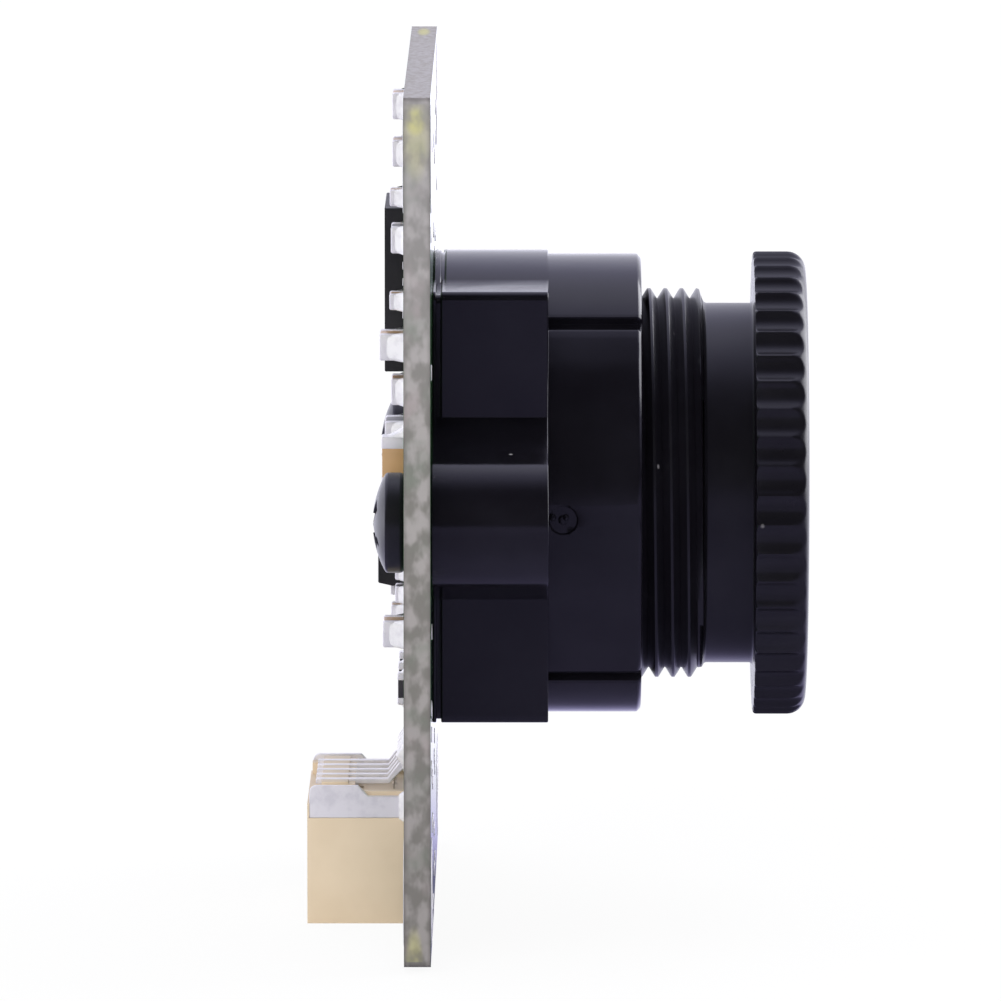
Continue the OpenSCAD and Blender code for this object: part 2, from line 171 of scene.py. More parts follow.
class Sheet:
    """One material and the nodes that make it."""

    def __init__(self, name: str, tree: bpy.types.NodeTree | None = None) -> None:
        """Starts an empty material, or empties the world's own tree.

        Args:
            name: The material's name.
            tree: The world's tree, where the sheet is the world.
        """
        self.material = None
        kind = "ShaderNodeOutputWorld"
        if tree is None:
            self.material = bpy.data.materials.new(name)
            self.material.use_nodes = True
            tree = self.material.node_tree
            kind = "ShaderNodeOutputMaterial"
        self.tree = tree
        self.tree.nodes.clear()
        self.out = self.node(kind)
        if self.material:
            place = self.node("ShaderNodeTexCoord")
            self.place = place.outputs["Object"]
            parts = self.node("ShaderNodeSeparateXYZ", inputs={0: self.place})
            self.x, self.y, self.z = (Signal(self, parts.outputs[i]) for i in range(3))

    def node(self, kind: str, settings: dict | None = None, inputs: dict | None = None) -> bpy.types.Node:
        """Adds a node.

        Args:
            kind: The node's type.
            settings: Its own settings, set first.
            inputs: Values or links of its sockets, by name or number.

        Returns:
            The node.
        """
        made = self.tree.nodes.new(kind)
        for key, value in (settings or {}).items():
            if key == "stops":
                self._stops(made, value)
            else:
                setattr(made, key, value)
        for key, value in (inputs or {}).items():
            socket = made.inputs[key]
            if isinstance(value, Signal):
                self.tree.links.new(value.socket, socket)
            elif isinstance(value, bpy.types.NodeSocket):
                self.tree.links.new(value, socket)
            else:
                wide = hasattr(value, "__len__") and len(value) == 3 and socket.type == "RGBA"
                socket.default_value = (*value, 1.0) if wide else value
        return made

    @staticmethod
    def _stops(node: bpy.types.Node, stops: Sequence[tuple[float, Colour]]) -> None:
        """Sets a colour ramp's stops.

        Args:
            node: The ramp node.
            stops: Place and colour of each stop.
        """
        ramp = node.color_ramp
        while len(ramp.elements) < len(stops):
            ramp.elements.new(0.5)
        for element, (place, colour) in zip(ramp.elements, stops):
            element.position = place
            element.color = (*colour, 1.0)

    def stretched(self, x: float, y: float, z: float) -> bpy.types.NodeSocket:
        """The place on the piece, scaled along each axis."""
        return self.node("ShaderNodeMapping", inputs={"Vector": self.place, "Scale": (x, y, z)}).outputs[0]

    def noise(self, size_mm: float, detail: float = 2.0, rough: float = 0.5,
              where: bpy.types.NodeSocket | None = None) -> Signal:
        """Soft noise.

        Args:
            size_mm: The size of its blotches.
            detail: How many finer octaves it has.
            rough: How strong those are.
            where: The place it reads, if not the plain one.

        Returns:
            The noise, about 0.5 on average.
        """
        made = self.node("ShaderNodeTexNoise", inputs={
            "Vector": where or self.place, "Scale": 1.0 / (size_mm * MM),
            "Detail": detail, "Roughness": rough})
        return Signal(self, made.outputs[0])

    def cells(self, size_mm: float) -> Signal:
        """Distance to the nearest point of a random scatter, in units of the spacing."""
        made = self.node("ShaderNodeTexVoronoi", inputs={"Vector": self.place, "Scale": 1.0 / (size_mm * MM)})
        return Signal(self, made.outputs["Distance"])

    def mixed(self, share: Value, first: Value, second: Value) -> bpy.types.NodeSocket:
        """A colour between two.

        Args:
            share: How much of the second colour shows.
            first: The first colour.
            second: The second colour.

        Returns:
            The mixed colour's socket.
        """
        made = self.node("ShaderNodeMix", {"data_type": "RGBA"}, {0: share, 6: first, 7: second})
        return made.outputs[2]

    def bump(self, height_mm: Signal) -> bpy.types.NodeSocket:
        """The normal of a surface that has this height over it, in mm."""
        return self.node("ShaderNodeBump", inputs={"Height": height_mm, "Distance": MM}).outputs[0]

    def surface(self, **values: Value) -> bpy.types.Material:
        """Closes the sheet with a Principled surface.

        Args:
            values: Its sockets, with _ for each space.

        Returns:
            The finished material.
        """
        sockets = {key.replace("_", " "): value for key, value in values.items()}
        made = self.node("ShaderNodeBsdfPrincipled", inputs=sockets)
        self.tree.links.new(made.outputs[0], self.out.inputs[0])
        return self.material


# ---------------------------------------------------------------------------------------------------------
# Finishes
# ---------------------------------------------------------------------------------------------------------


@dataclass(frozen=True)
class MouldedPlastic:
    """Glossy or dull moulded plastic with a faint orange-peel skin and a few dust specks."""

    name: str
    colour: Colour
    roughness: float = 0.35
    gloss: float = 0.5
    peel_mm: float = 0.9
    peel_depth_mm: float = 0.004
    grain_depth_mm: float = 0.0012
    dust: float = 0.0
    tint: Colour = (0.02, 0.018, 0.026)
    cloud_mm: float = 2.6
    grain_mm: float = 0.06
    speck_gap_mm: float = 1.7
    speck_area_mm: float = 4.0
    speck_colour: Colour = (0.5, 0.48, 0.5)
    smoothest: float = 0.05

    def make(self) -> bpy.types.Material:
        """Builds the material."""
        sheet = Sheet(self.name)
        clouds = sheet.noise(self.cloud_mm, 3.0, 0.6)
        grain = sheet.noise(self.grain_mm, 2.0, 0.6)
        peel = sheet.noise(self.peel_mm)
        dusty = sheet.noise(self.speck_area_mm).step(0.5, 0.62) * self.dust
        specks = sheet.cells(self.speck_gap_mm).step(0.055, 0.02) * dusty
        body = sheet.mixed(clouds.step(0.35, 0.7), self.colour, self.tint)
        worn = (clouds - 0.5) * 0.10 + (grain - 0.5) * 0.06
        return sheet.surface(
            Base_Color=sheet.mixed(specks, body, self.speck_colour),
            Roughness=(worn + self.roughness).larger(self.smoothest),
            Specular_IOR_Level=self.gloss,
            Normal=sheet.bump(peel * self.peel_depth_mm + grain * self.grain_depth_mm),
        )


@dataclass(frozen=True)
class SolderMask:
    """The board: lacquered faces with buried tracks, and cut edges of layered glass cloth and resin."""

    name: str
    half_mm: float = 13.0
    back_mm: float = -0.8
    mask: Colour = (0.042, 0.112, 0.04)
    mask_dark: Colour = (0.03, 0.085, 0.033)
    mask_roughness: float = 0.12
    cut_roughness: float = 0.75
    region_mm: float = 7.0
    lane_mm: float = 0.42
    lane_shift: float = 7.0
    run_mm: float = 5.0
    track_rise_mm: float = 0.004
    weave_rise_mm: float = 0.001
    cut_rise_mm: float = 0.012
    resin: Colour = (0.165, 0.16, 0.145)
    glass: Colour = (0.30, 0.285, 0.275)
    moss: Colour = (0.155, 0.18, 0.145)
    rose: Colour = (0.33, 0.285, 0.285)
    rim: Colour = (0.10, 0.085, 0.085)
    # Lavender grey painted as the reflection of the pale background on the top face, and as light on the
    # upper cut edge.
    painted_sheen_grey: Colour = (0.40, 0.385, 0.41)
    # Yellow-green painted light, standing in for light that shines through the board near its corners.
    clear: Colour = (0.52, 0.50, 0.16)

    def make(self) -> bpy.types.Material:
        """Builds the material."""
        sheet = Sheet(self.name)
        x, y, z = place = tuple(part * (1.0 / MM) for part in (sheet.x, sheet.y, sheet.z))
        upright = sheet.noise(self.region_mm, 0.0).step(0.49, 0.51)
        tracks = self._runs(sheet, y, z) * upright + self._runs(sheet, z, y) * (1.0 - upright)
        weave = sheet.noise(0.5)
        bundles = sheet.noise(0.5, 2.0, 0.45, sheet.stretched(1.2, 0.8, 0.8))
        fine = sheet.noise(0.16, 2.0, 0.6, sheet.stretched(1.0, 0.5, 0.5))
        edge = self._cut_edge(sheet, place, bundles, fine)
        lacquer = sheet.mixed(tracks, self.mask_dark, self.mask)
        on_face = x.step(-0.012, -0.002).larger(x.step(self.back_mm + 0.012, self.back_mm + 0.002))
        skin = tracks * self.track_rise_mm + weave * self.weave_rise_mm
        cut = (bundles + fine) * self.cut_rise_mm
        gloss = self.mask_roughness - self.cut_roughness
        return sheet.surface(
            Base_Color=sheet.mixed(on_face, edge, lacquer),
            Roughness=on_face * gloss + self.cut_roughness + (weave - 0.5) * 0.05,
            Normal=sheet.bump(skin * on_face + cut * (1.0 - on_face)),
        )

    def _runs(self, sheet: Sheet, across: Signal, along: Signal) -> Signal:
        """Straight buried tracks side by side, each of which starts and stops along its lane.

        Args:
            sheet: The material sheet.
            across: The place across the lanes, in mm.
            along: The place along them, in mm.

        Returns:
            1 on a track and 0 beside it.
        """
        lane = across.snapped(self.lane_mm)
        where = {0: lane * (self.lane_shift * MM), 1: along * (MM / self.run_mm)}
        laid = sheet.noise(1.0, 1.0, 0.5, sheet.node("ShaderNodeCombineXYZ", inputs=where).outputs[0])
        off_middle = abs(across - lane - self.lane_mm / 2)
        return off_middle.step(self.lane_mm * 0.4, self.lane_mm * 0.3) * laid.step(0.47, 0.49)

    def _cut_edge(self, sheet: Sheet, place: Sequence[Signal], bundles: Signal,
                  fine: Signal) -> bpy.types.NodeSocket:
        """The colour of the cut edges: glass bundles in resin, dull rims, painted light towards the top and
        painted shade towards the bottom, a top face painted in the lavender grey of a grazing reflection, and
        yellow spots of painted light shining through near the corners.

        Args:
            sheet: The material sheet.
            place: The place on the board along each axis, in mm.
            bundles: The noise of the glass bundles.
            fine: The noise of the single fibres.

        Returns:
            The colour's socket.
        """
        x, y, z = place
        cloth = sheet.mixed((bundles * 0.85 + fine * 0.15).step(0.39, 0.62), self.resin, self.glass)
        mossy = sheet.mixed(sheet.noise(1.3).step(0.48, 0.72) * 0.7, cloth, self.moss)
        blush = sheet.noise(1.0, 2.0, 0.5, sheet.stretched(1.0, 1.0, 0.7)).step(0.56, 0.76)
        rosy = sheet.mixed(blush * 0.6, mossy, self.rose)
        # Painted light: the upper part of the cut edge is mixed towards a light grey, lighter towards the
        # top.
        bright = sheet.mixed(z.step(0.0, 12.0) * 0.3, rosy, self.painted_sheen_grey)
        rims = abs(x - self.back_mm / 2).step(0.26, 0.42) * 0.45
        corner = z.step(self.half_mm - 0.16, self.half_mm - 0.04) * 0.5
        # Painted shade: the cut edge darkens towards the bottom (z from 4 down to -12 mm), on top of the
        # darker rims near both faces and along the top corner.
        dull = sheet.mixed(rims + z.step(4.0, -12.0) * 0.24 + corner, bright, self.rim)
        top = z.step(self.half_mm - 0.03, self.half_mm - 0.01)
        # Painted reflection: the top face mixes the fibre grain with the lavender grey of a grazing
        # reflection.
        painted_top_reflection = sheet.mixed(fine.step(0.3, 0.7), self.painted_sheen_grey, self.glass)
        near = y.step(0.03 - self.half_mm, 0.01 - self.half_mm)
        # Painted light: soft yellow-green spots near the corners of the near edge and at the far end of the
        # top face, where light shines through the board.
        near_painted_glow = (self._spot(x, z, (-0.44, self.half_mm - 0.72), (0.34, 0.5)) * 0.5
                      + self._spot(x, z, (-0.42, self.half_mm - 1.2), (0.5, 1.5)) * 0.35
                      + self._spot(x, z, (-0.5, 0.3 - self.half_mm), (0.3, 1.1)) * 0.5)
        top_painted_glow = self._spot(x, y, (-0.4, 10.6), (0.24, 1.7))
        spots = near_painted_glow * near * bundles.step(0.2, 0.6) + top_painted_glow * top * 0.7
        return sheet.mixed(spots * 0.8, sheet.mixed(top * 0.85, dull, painted_top_reflection), self.clear)

    @staticmethod
    def _spot(across: Signal, along: Signal, centre: Point, reach: Point) -> Signal:
        """A soft oval spot.

        Args:
            across: The first place, in mm.
            along: The second place, in mm.
            centre: The spot's centre.
            reach: How far it goes each way.

        Returns:
            1 in its middle, falling to 0 at its rim.
        """
        a = (across - centre[0]) * (1.0 / reach[0])
        b = (along - centre[1]) * (1.0 / reach[1])
        return (a * a + b * b).step(1.0, 0.0)


@dataclass(frozen=True)
class TinnedMetal:
    """Tin plate or solder: bright, a little cloudy, with fine scratches."""

    name: str
    colour: Colour
    shade: Colour
    roughness: float
    blotch_mm: float = 0.5
    depth_mm: float = 0.006
    metallic: float = 1.0
    scratch_mm: float = 0.05
    smoothest: float = 0.06

    def make(self) -> bpy.types.Material:
        """Builds the material."""
        sheet = Sheet(self.name)
        blotch = sheet.noise(self.blotch_mm, 3.0, 0.6)
        scratch = sheet.noise(self.scratch_mm, 2.0, 0.6, sheet.stretched(1.0, 0.2, 0.1))
        return sheet.surface(
            Base_Color=sheet.mixed(blotch.step(0.42, 0.72), self.colour, self.shade),
            Metallic=self.metallic,
            Roughness=((scratch - 0.5) * 0.2 + self.roughness).larger(self.smoothest),
            Normal=sheet.bump((blotch + scratch * 0.2) * self.depth_mm),
        )


@dataclass(frozen=True)
class CoatedGlass:
    """Clear optical glass with a coloured anti-reflection coat."""

    name: str
    tint: Colour = (0.86, 0.88, 0.95)
    coat: Colour = (0.55, 0.45, 0.95)
    glass_ior: float = 1.52
    film_nm: float = 240.0
    film_ior: float = 1.38

    def make(self) -> bpy.types.Material:
        """Builds the material."""
        sheet = Sheet(self.name)
        haze = sheet.noise(1.8)
        return sheet.surface(
            Base_Color=sheet.mixed(haze, self.tint, tuple(part * 0.96 for part in self.tint)),
            Roughness=haze * 0.02 + 0.01,
            IOR=self.glass_ior,
            Transmission_Weight=1.0,
            Specular_Tint=(*self.coat, 1.0),
            Thin_Film_Thickness=self.film_nm,
            Thin_Film_IOR=self.film_ior,
        )


Finish = MouldedPlastic | SolderMask | TinnedMetal | CoatedGlass


# ---------------------------------------------------------------------------------------------------------
# Forms
# ---------------------------------------------------------------------------------------------------------


class Form:
    """A mesh under construction, in the row frame. Sizes come in millimetres and are kept in metres."""

    def __init__(self) -> None:
        """Starts an empty mesh."""
        self.bm = bmesh.new()

    @classmethod
    def copied(cls, node: str, reach_mm: float = 0.0004, flat_deg: float = 0.6) -> "Form":
        """Starts from a merged copy of a CAD node.

        Args:
            node: The node.
            reach_mm: Points that lie closer than this become one.
            flat_deg: Faces that meet at less than this angle become one.

        Returns:
            The form.
        """
        form = cls()
        form.bm.from_mesh(frame["nodes"][node].data)
        form.weld(reach_mm)
        bmesh.ops.dissolve_limit(form.bm, angle_limit=math.radians(flat_deg), use_dissolve_boundaries=False,
                                 verts=form.bm.verts, edges=form.bm.edges, delimit=set())
        for face in form.bm.faces:
            face.material_index = 0
        return form

    def take(self, part: bmesh.types.BMesh, moves: Sequence[Sequence[float]] = ((0.0, 0.0, 0.0),)) -> None:
        """Joins a small mesh to this one, once at each move, and frees it.

        Args:
            part: The small mesh.
            moves: Where its copies go, in mm.
        """
        mesh = bpy.data.meshes.new("part")
        part.to_mesh(mesh)
        part.free()
        at = Vector((0.0, 0.0, 0.0))
        for move in moves:
            mesh.transform(Matrix.Translation(Vector(move) * MM - at))
            at = Vector(move) * MM
            self.bm.from_mesh(mesh)
        bpy.data.meshes.remove(mesh)

    def weld(self, reach_mm: float = 0.0005) -> None:
        """Merges points that lie together and drops faces without area."""
        bmesh.ops.remove_doubles(self.bm, verts=self.bm.verts, dist=reach_mm * MM)
        bmesh.ops.dissolve_degenerate(self.bm, edges=self.bm.edges, dist=reach_mm * MM * 0.2)

    def _newer(self, known: set) -> list:
        """The faces that weren't there before."""
        return [face for face in self.bm.faces if face not in known]

    def block(self, low: Sequence[float], high: Sequence[float], edge_mm: float = 0.0, segments: int = 3,
              slot: int = 0) -> None:
        """Adds a box with rounded edges.

        Args:
            low: Its lowest corner, in mm.
            high: Its highest corner, in mm.
            edge_mm: The radius of its edges.
            segments: How many faces go round an edge.
            slot: The material slot of its faces.
        """
        known = set(self.bm.faces)
        size, middle = Vector(high) - Vector(low), (Vector(high) + Vector(low)) / 2
        made = bmesh.ops.create_cube(self.bm, size=1.0)["verts"]
        bmesh.ops.scale(self.bm, vec=size * MM, verts=made)
        bmesh.ops.translate(self.bm, vec=middle * MM, verts=made)
        if edge_mm > 0.0:
            rims = list({edge for vert in made for edge in vert.link_edges})
            bmesh.ops.bevel(self.bm, geom=rims, offset=edge_mm * MM, offset_type="OFFSET", segments=segments,
                            profile=0.5, affect="EDGES", clamp_overlap=True, material=-1)
        for face in self._newer(known):
            face.material_index = slot

    def spun(self, profile: Sequence[Point], steps: int, centre: Point = (0.0, 0.0)) -> None:
        """Adds a solid of revolution about an axis along X.

        Args:
            profile: Points of radius and axial place, in mm.
            steps: How many faces go round it.
            centre: Where the axis crosses the board, in mm.
        """
        part = bmesh.new()
        verts = [part.verts.new(Vector((x, centre[0] + r, centre[1])) * MM) for r, x in profile]
        edges = [part.edges.new(pair) for pair in zip(verts, verts[1:])]
        bmesh.ops.spin(part, geom=verts + edges, cent=Vector((0.0, *centre)) * MM, axis=(1.0, 0.0, 0.0),
                       angle=math.tau, steps=steps, use_merge=True)
        self.take(part)

    def ringed(self, stations: Sequence[tuple[float, Callable[[float], float]]], around: int) -> None:
        """Adds a tube along X whose outline changes from station to station.

        Args:
            stations: Axial place, in mm, and outline radius, in mm, as a function of the angle about X.
            around: How many points go round it.
        """
        made = bmesh.ops.create_circle(self.bm, cap_ends=False, radius=1.0, segments=around)["verts"]
        angles = [math.atan2(vert.co.y, vert.co.x) for vert in made]
        loop = list(made)
        rim = list({edge for vert in made for edge in vert.link_edges})
        for number, (x, radius) in enumerate(stations):
            if number:
                grown = bmesh.ops.extrude_edge_only(self.bm, edges=rim)["geom"]
                fresh = {part for part in grown if isinstance(part, bmesh.types.BMVert)}
                rim = [part for part in grown if isinstance(part, bmesh.types.BMEdge)
                       and part.verts[0] in fresh and part.verts[1] in fresh]
                loop = [next(e.other_vert(vert) for e in vert.link_edges if e.other_vert(vert) in fresh)
                        for vert in loop]
            for vert, angle in zip(loop, angles):
                r = radius(angle)
                vert.co = Vector((x, r * math.cos(angle), r * math.sin(angle))) * MM

    def mound(self, low: Sequence[float], high: Sequence[float], floor_x: float,
              height: Callable[[float, float], float], cells: tuple[int, int]) -> None:
        """Adds a skin over an oblong of the board, raised off the board's back.

        Args:
            low: Its lowest Y and Z, in mm.
            high: Its highest Y and Z, in mm.
            floor_x: The board face that it stands on, in mm.
            height: Height in mm, from the place across and up the oblong, each from 0 to 1.
            cells: How many faces lie across and up it.
        """
        known = set(self.bm.faces)
        made = bmesh.ops.create_grid(self.bm, x_segments=cells[0], y_segments=cells[1], size=0.5)["verts"]
        for vert in made:
            u, v = vert.co.x + 0.5, vert.co.y + 0.5
            vert.co = Vector((floor_x - height(u, v), low[0] + (high[0] - low[0]) * u,
                              low[1] + (high[1] - low[1]) * v)) * MM
        fresh = self._newer(known)
        if fresh[0].normal.x > 0.0:
            bmesh.ops.reverse_faces(self.bm, faces=fresh)

    def piece(self, name: str, body: Body, finishes: Sequence[bpy.types.Material],
              replaced: Sequence[str] = (), slot: str = "", sharp_deg: float = 40.0,
              outward: bool = True) -> bpy.types.Object:
        """Turns the form into a finished object on its body.

        Args:
            name: The piece's name.
            body: The CAD body that it rides on.
            finishes: Its materials, in slot order.
            replaced: The CAD nodes that it stands for.
            slot: The record's finish that it would take; it is not used.
            sharp_deg: Edges sharper than this stay crisp.
            outward: Whether its faces are turned outwards first.

        Returns:
            The object.
        """
        if outward:
            bmesh.ops.recalc_face_normals(self.bm, faces=self.bm.faces)
        for face in self.bm.faces:
            face.smooth = True
        mesh = bpy.data.meshes.new(name)
        self.bm.to_mesh(mesh)
        self.bm.free()
        mesh.set_sharp_from_angle(angle=math.radians(sharp_deg))
        for finish in finishes:
            mesh.materials.append(finish)
        made = bpy.data.objects.new(name, mesh)
        bpy.context.scene.collection.objects.link(made)
        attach(made, body.value)
        if replaced:
            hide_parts(*replaced)
        LOG.info("%s: %d faces on %s", name, len(mesh.polygons), body.value)
        return made


@dataclass(frozen=True)
class Rounding:
    """How a piece's edges are rounded and shaded."""

    radius_mm: float
    segments: int = 2
    above_deg: float = 40.0
    sharp_deg: float = 35.0
    inner_share: float = 1.0

    def apply(self, piece: bpy.types.Object) -> None:
        """Rounds every edge above the angle with a live bevel, inward corners by a share of the radius.

        Args:
            piece: The piece.
        """
        bm = bmesh.new()
        bm.from_mesh(piece.data)
        weight = bm.edges.layers.float.new("bevel_weight_edge")
        for rim in bm.edges:
            turn = math.degrees(rim.calc_face_angle_signed(0.0))
            if abs(turn) > self.above_deg:
                rim[weight] = 1.0 if turn > 0.0 else self.inner_share
        bm.to_mesh(piece.data)
        bm.free()
        edge = piece.modifiers.new("rounded_edges", "BEVEL")
        edge.width = self.radius_mm * MM
        edge.segments = self.segments
        edge.limit_method = "WEIGHT"
        edge.use_clamp_overlap = False
        level = piece.modifiers.new("level_flats", "WEIGHTED_NORMAL")
        level.keep_sharp = True


def body_of(node: str) -> Body:
    """The CAD body that a node rides on."""
    bodies = frame["record"]["behaviour"]["bodies"]
    return next(Body(name) for name, nodes in bodies.items() if node in nodes)


def dressed_copy(node: str, name: str, finish: bpy.types.Material, slot: str, rounding: Rounding) -> None:
    """Stands a merged copy of a CAD node, with rounded edges, in for it.

    Args:
        node: The node.
        name: The piece's name.
        finish: Its material.
        slot: The record's finish that it would take, passed on to piece, which doesn't use it.
        rounding: How its edges are rounded.
    """
    piece = Form.copied(node).piece(name, body_of(node), [finish], [node], slot, rounding.sharp_deg,
                                    outward=False)
    rounding.apply(piece)


def arc_points(centre: Point, radius: float, start_deg: float, end_deg: float, steps: int) -> list[Point]:
    """Points round an arc.

    Args:
        centre: Its centre.
        radius: Its radius.
        start_deg: Where it starts.
        end_deg: Where it ends.
        steps: How many chords it has.

    Returns:
        The points, both ends included.
    """
    turn = [math.radians(start_deg + (end_deg - start_deg) * i / steps) for i in range(steps + 1)]
    return [(centre[0] + radius * math.cos(a), centre[1] + radius * math.sin(a)) for a in turn]


def cap_points(edge_r: float, surface_r: float, edge_x: float, bulge: int, steps: int = 20) -> list[Point]:
    """Radius and axial place of a spherical cap.

    Args:
        edge_r: Radius of its edge.
        surface_r: Radius of the sphere.
        edge_x: Axial place of its edge.
        bulge: 1 where its middle lies further forward than its edge, -1 where it lies further back.
        steps: How many chords it has.

    Returns:
        The points, from the edge to the middle.
    """
    def sag(r: float) -> float:
        """Depth of the sphere at a radius."""
        return surface_r - math.sqrt(surface_r * surface_r - r * r)

    radii = [edge_r * (1 - i / steps) for i in range(steps + 1)]
    return [(r, edge_x + bulge * (sag(edge_r) - sag(r))) for r in radii]


def node_box_mm(node: str) -> tuple[Vector, Vector]:
    """The CAD node's lowest and highest corner, in mm."""
    low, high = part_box(node)
    return Vector(low) / MM, Vector(high) / MM


# ---------------------------------------------------------------------------------------------------------
# Lens holder and barrel
# ---------------------------------------------------------------------------------------------------------


@dataclass
class LensHolder:
    """The black moulding: square base, two screw ears, round collar."""

    rounding: Rounding = Rounding(0.045, 3, 30.0, 32.0, 0.3)
    steps: int = 256
    depth: float = 0.6
    drum_r: float = 7.15
    drum_back: float = 0.02
    drum_front: float = 3.5
    drum_from: float = 6.45
    flange: float = 0.24
    flange_step: float = 0.02
    groove_end: float = 0.36
    groove_depth: float = 0.09
    collar_r: float = 7.034
    collar_front: float = 6.342
    collar_from: float = 5.62
    collar_chamfer: float = 0.12
    gate_z: float = -0.22
    gate_bumps: tuple[Point, ...] = ((3.63, 0.1), (4.03, 0.09))
    finish: MouldedPlastic = MouldedPlastic("holder_plastic", (0.0045, 0.004, 0.006), 0.15, 0.5, dust=1.0,
                                            tint=(0.0065, 0.006, 0.009))

    def build(self) -> None:
        """Builds the holder from its CAD solid, the round drum in its base and the skins of its collar."""
        black = self.finish.make()
        dressed_copy("lens_holder", "holder_moulding", black, "holder_plastic", self.rounding)
        for place, side in (("top", 1.0), ("bottom", -1.0)):
            for name, profile, height, sharp_deg in (("drum", self._drum(), self.drum_from, 32.0),
                                                     ("collar", self._collar(), self.collar_from, 50.0)):
                self._segment(profile, height, side).piece(f"{name}_{place}", Body.BASE, [black],
                                                           slot="holder_plastic", sharp_deg=sharp_deg)
        self._torn_gate().piece("torn_gate", Body.BASE, [black], slot="holder_plastic")

    def _drum(self) -> list[Point]:
        """Half section of the drum: a flange at the board, a shallow groove, and the drum with a soft rim."""
        r, inner = self.drum_r, self.collar_from + self.depth
        wide, low = r - self.flange_step, r - self.groove_depth
        return [(inner, self.drum_back), (wide - 0.04, self.drum_back), (wide, self.drum_back + 0.04),
                (wide, self.flange - 0.03), (wide - 0.02, self.flange), (low, self.flange + 0.02),
                (low, self.groove_end - 0.02), (r - 0.03, self.groove_end), (r, self.groove_end + 0.04),
                (r, self.drum_front - 0.05), (r - 0.015, self.drum_front - 0.015),
                (r - 0.05, self.drum_front), (inner, self.drum_front)]

    def _collar(self) -> list[Point]:
        """Half section of the collar's skin, with its chamfer's two edges softened."""
        wide, front, cut = self.collar_r, self.collar_front, self.collar_chamfer
        inner, back = self.collar_from + self.depth, self.drum_front - 0.1
        return [(inner, back), (wide, back), (wide, front - cut - 0.032), (wide - 0.012, front - cut + 0.008),
                (wide - cut + 0.01, front - 0.014), (wide - cut - 0.03, front), (inner, front)]

    def _torn_gate(self) -> Form:
        """Two tiny torn bumps in the dish that the moulding gate left on the collar's side."""
        form = Form()
        for x, reach in self.gate_bumps:
            bump = bmesh.new()
            bmesh.ops.create_icosphere(bump, subdivisions=3, radius=reach * MM)
            form.take(bump, [(x, 0.02 - self.collar_r, self.gate_z)])
        return form

    def _segment(self, profile: Sequence[Point], height: float, side: float) -> Form:
        """Turns a ring and keeps the part of it that lies beyond a level.

        Args:
            profile: Points of radius and axial place, in mm.
            height: The level's distance from the axis, in mm.
            side: 1 for the part above and -1 for the part below.

        Returns:
            The form, closed where it is cut.
        """
        form = Form()
        form.spun(profile, self.steps)
        parts = list(form.bm.verts) + list(form.bm.edges) + list(form.bm.faces)
        bmesh.ops.bisect_plane(form.bm, geom=parts, plane_co=(0.0, 0.0, side * height * MM),
                               plane_no=(0.0, 0.0, side), clear_inner=True)
        bmesh.ops.holes_fill(form.bm, edges=[edge for edge in form.bm.edges if edge.is_boundary], sides=0)
        return form


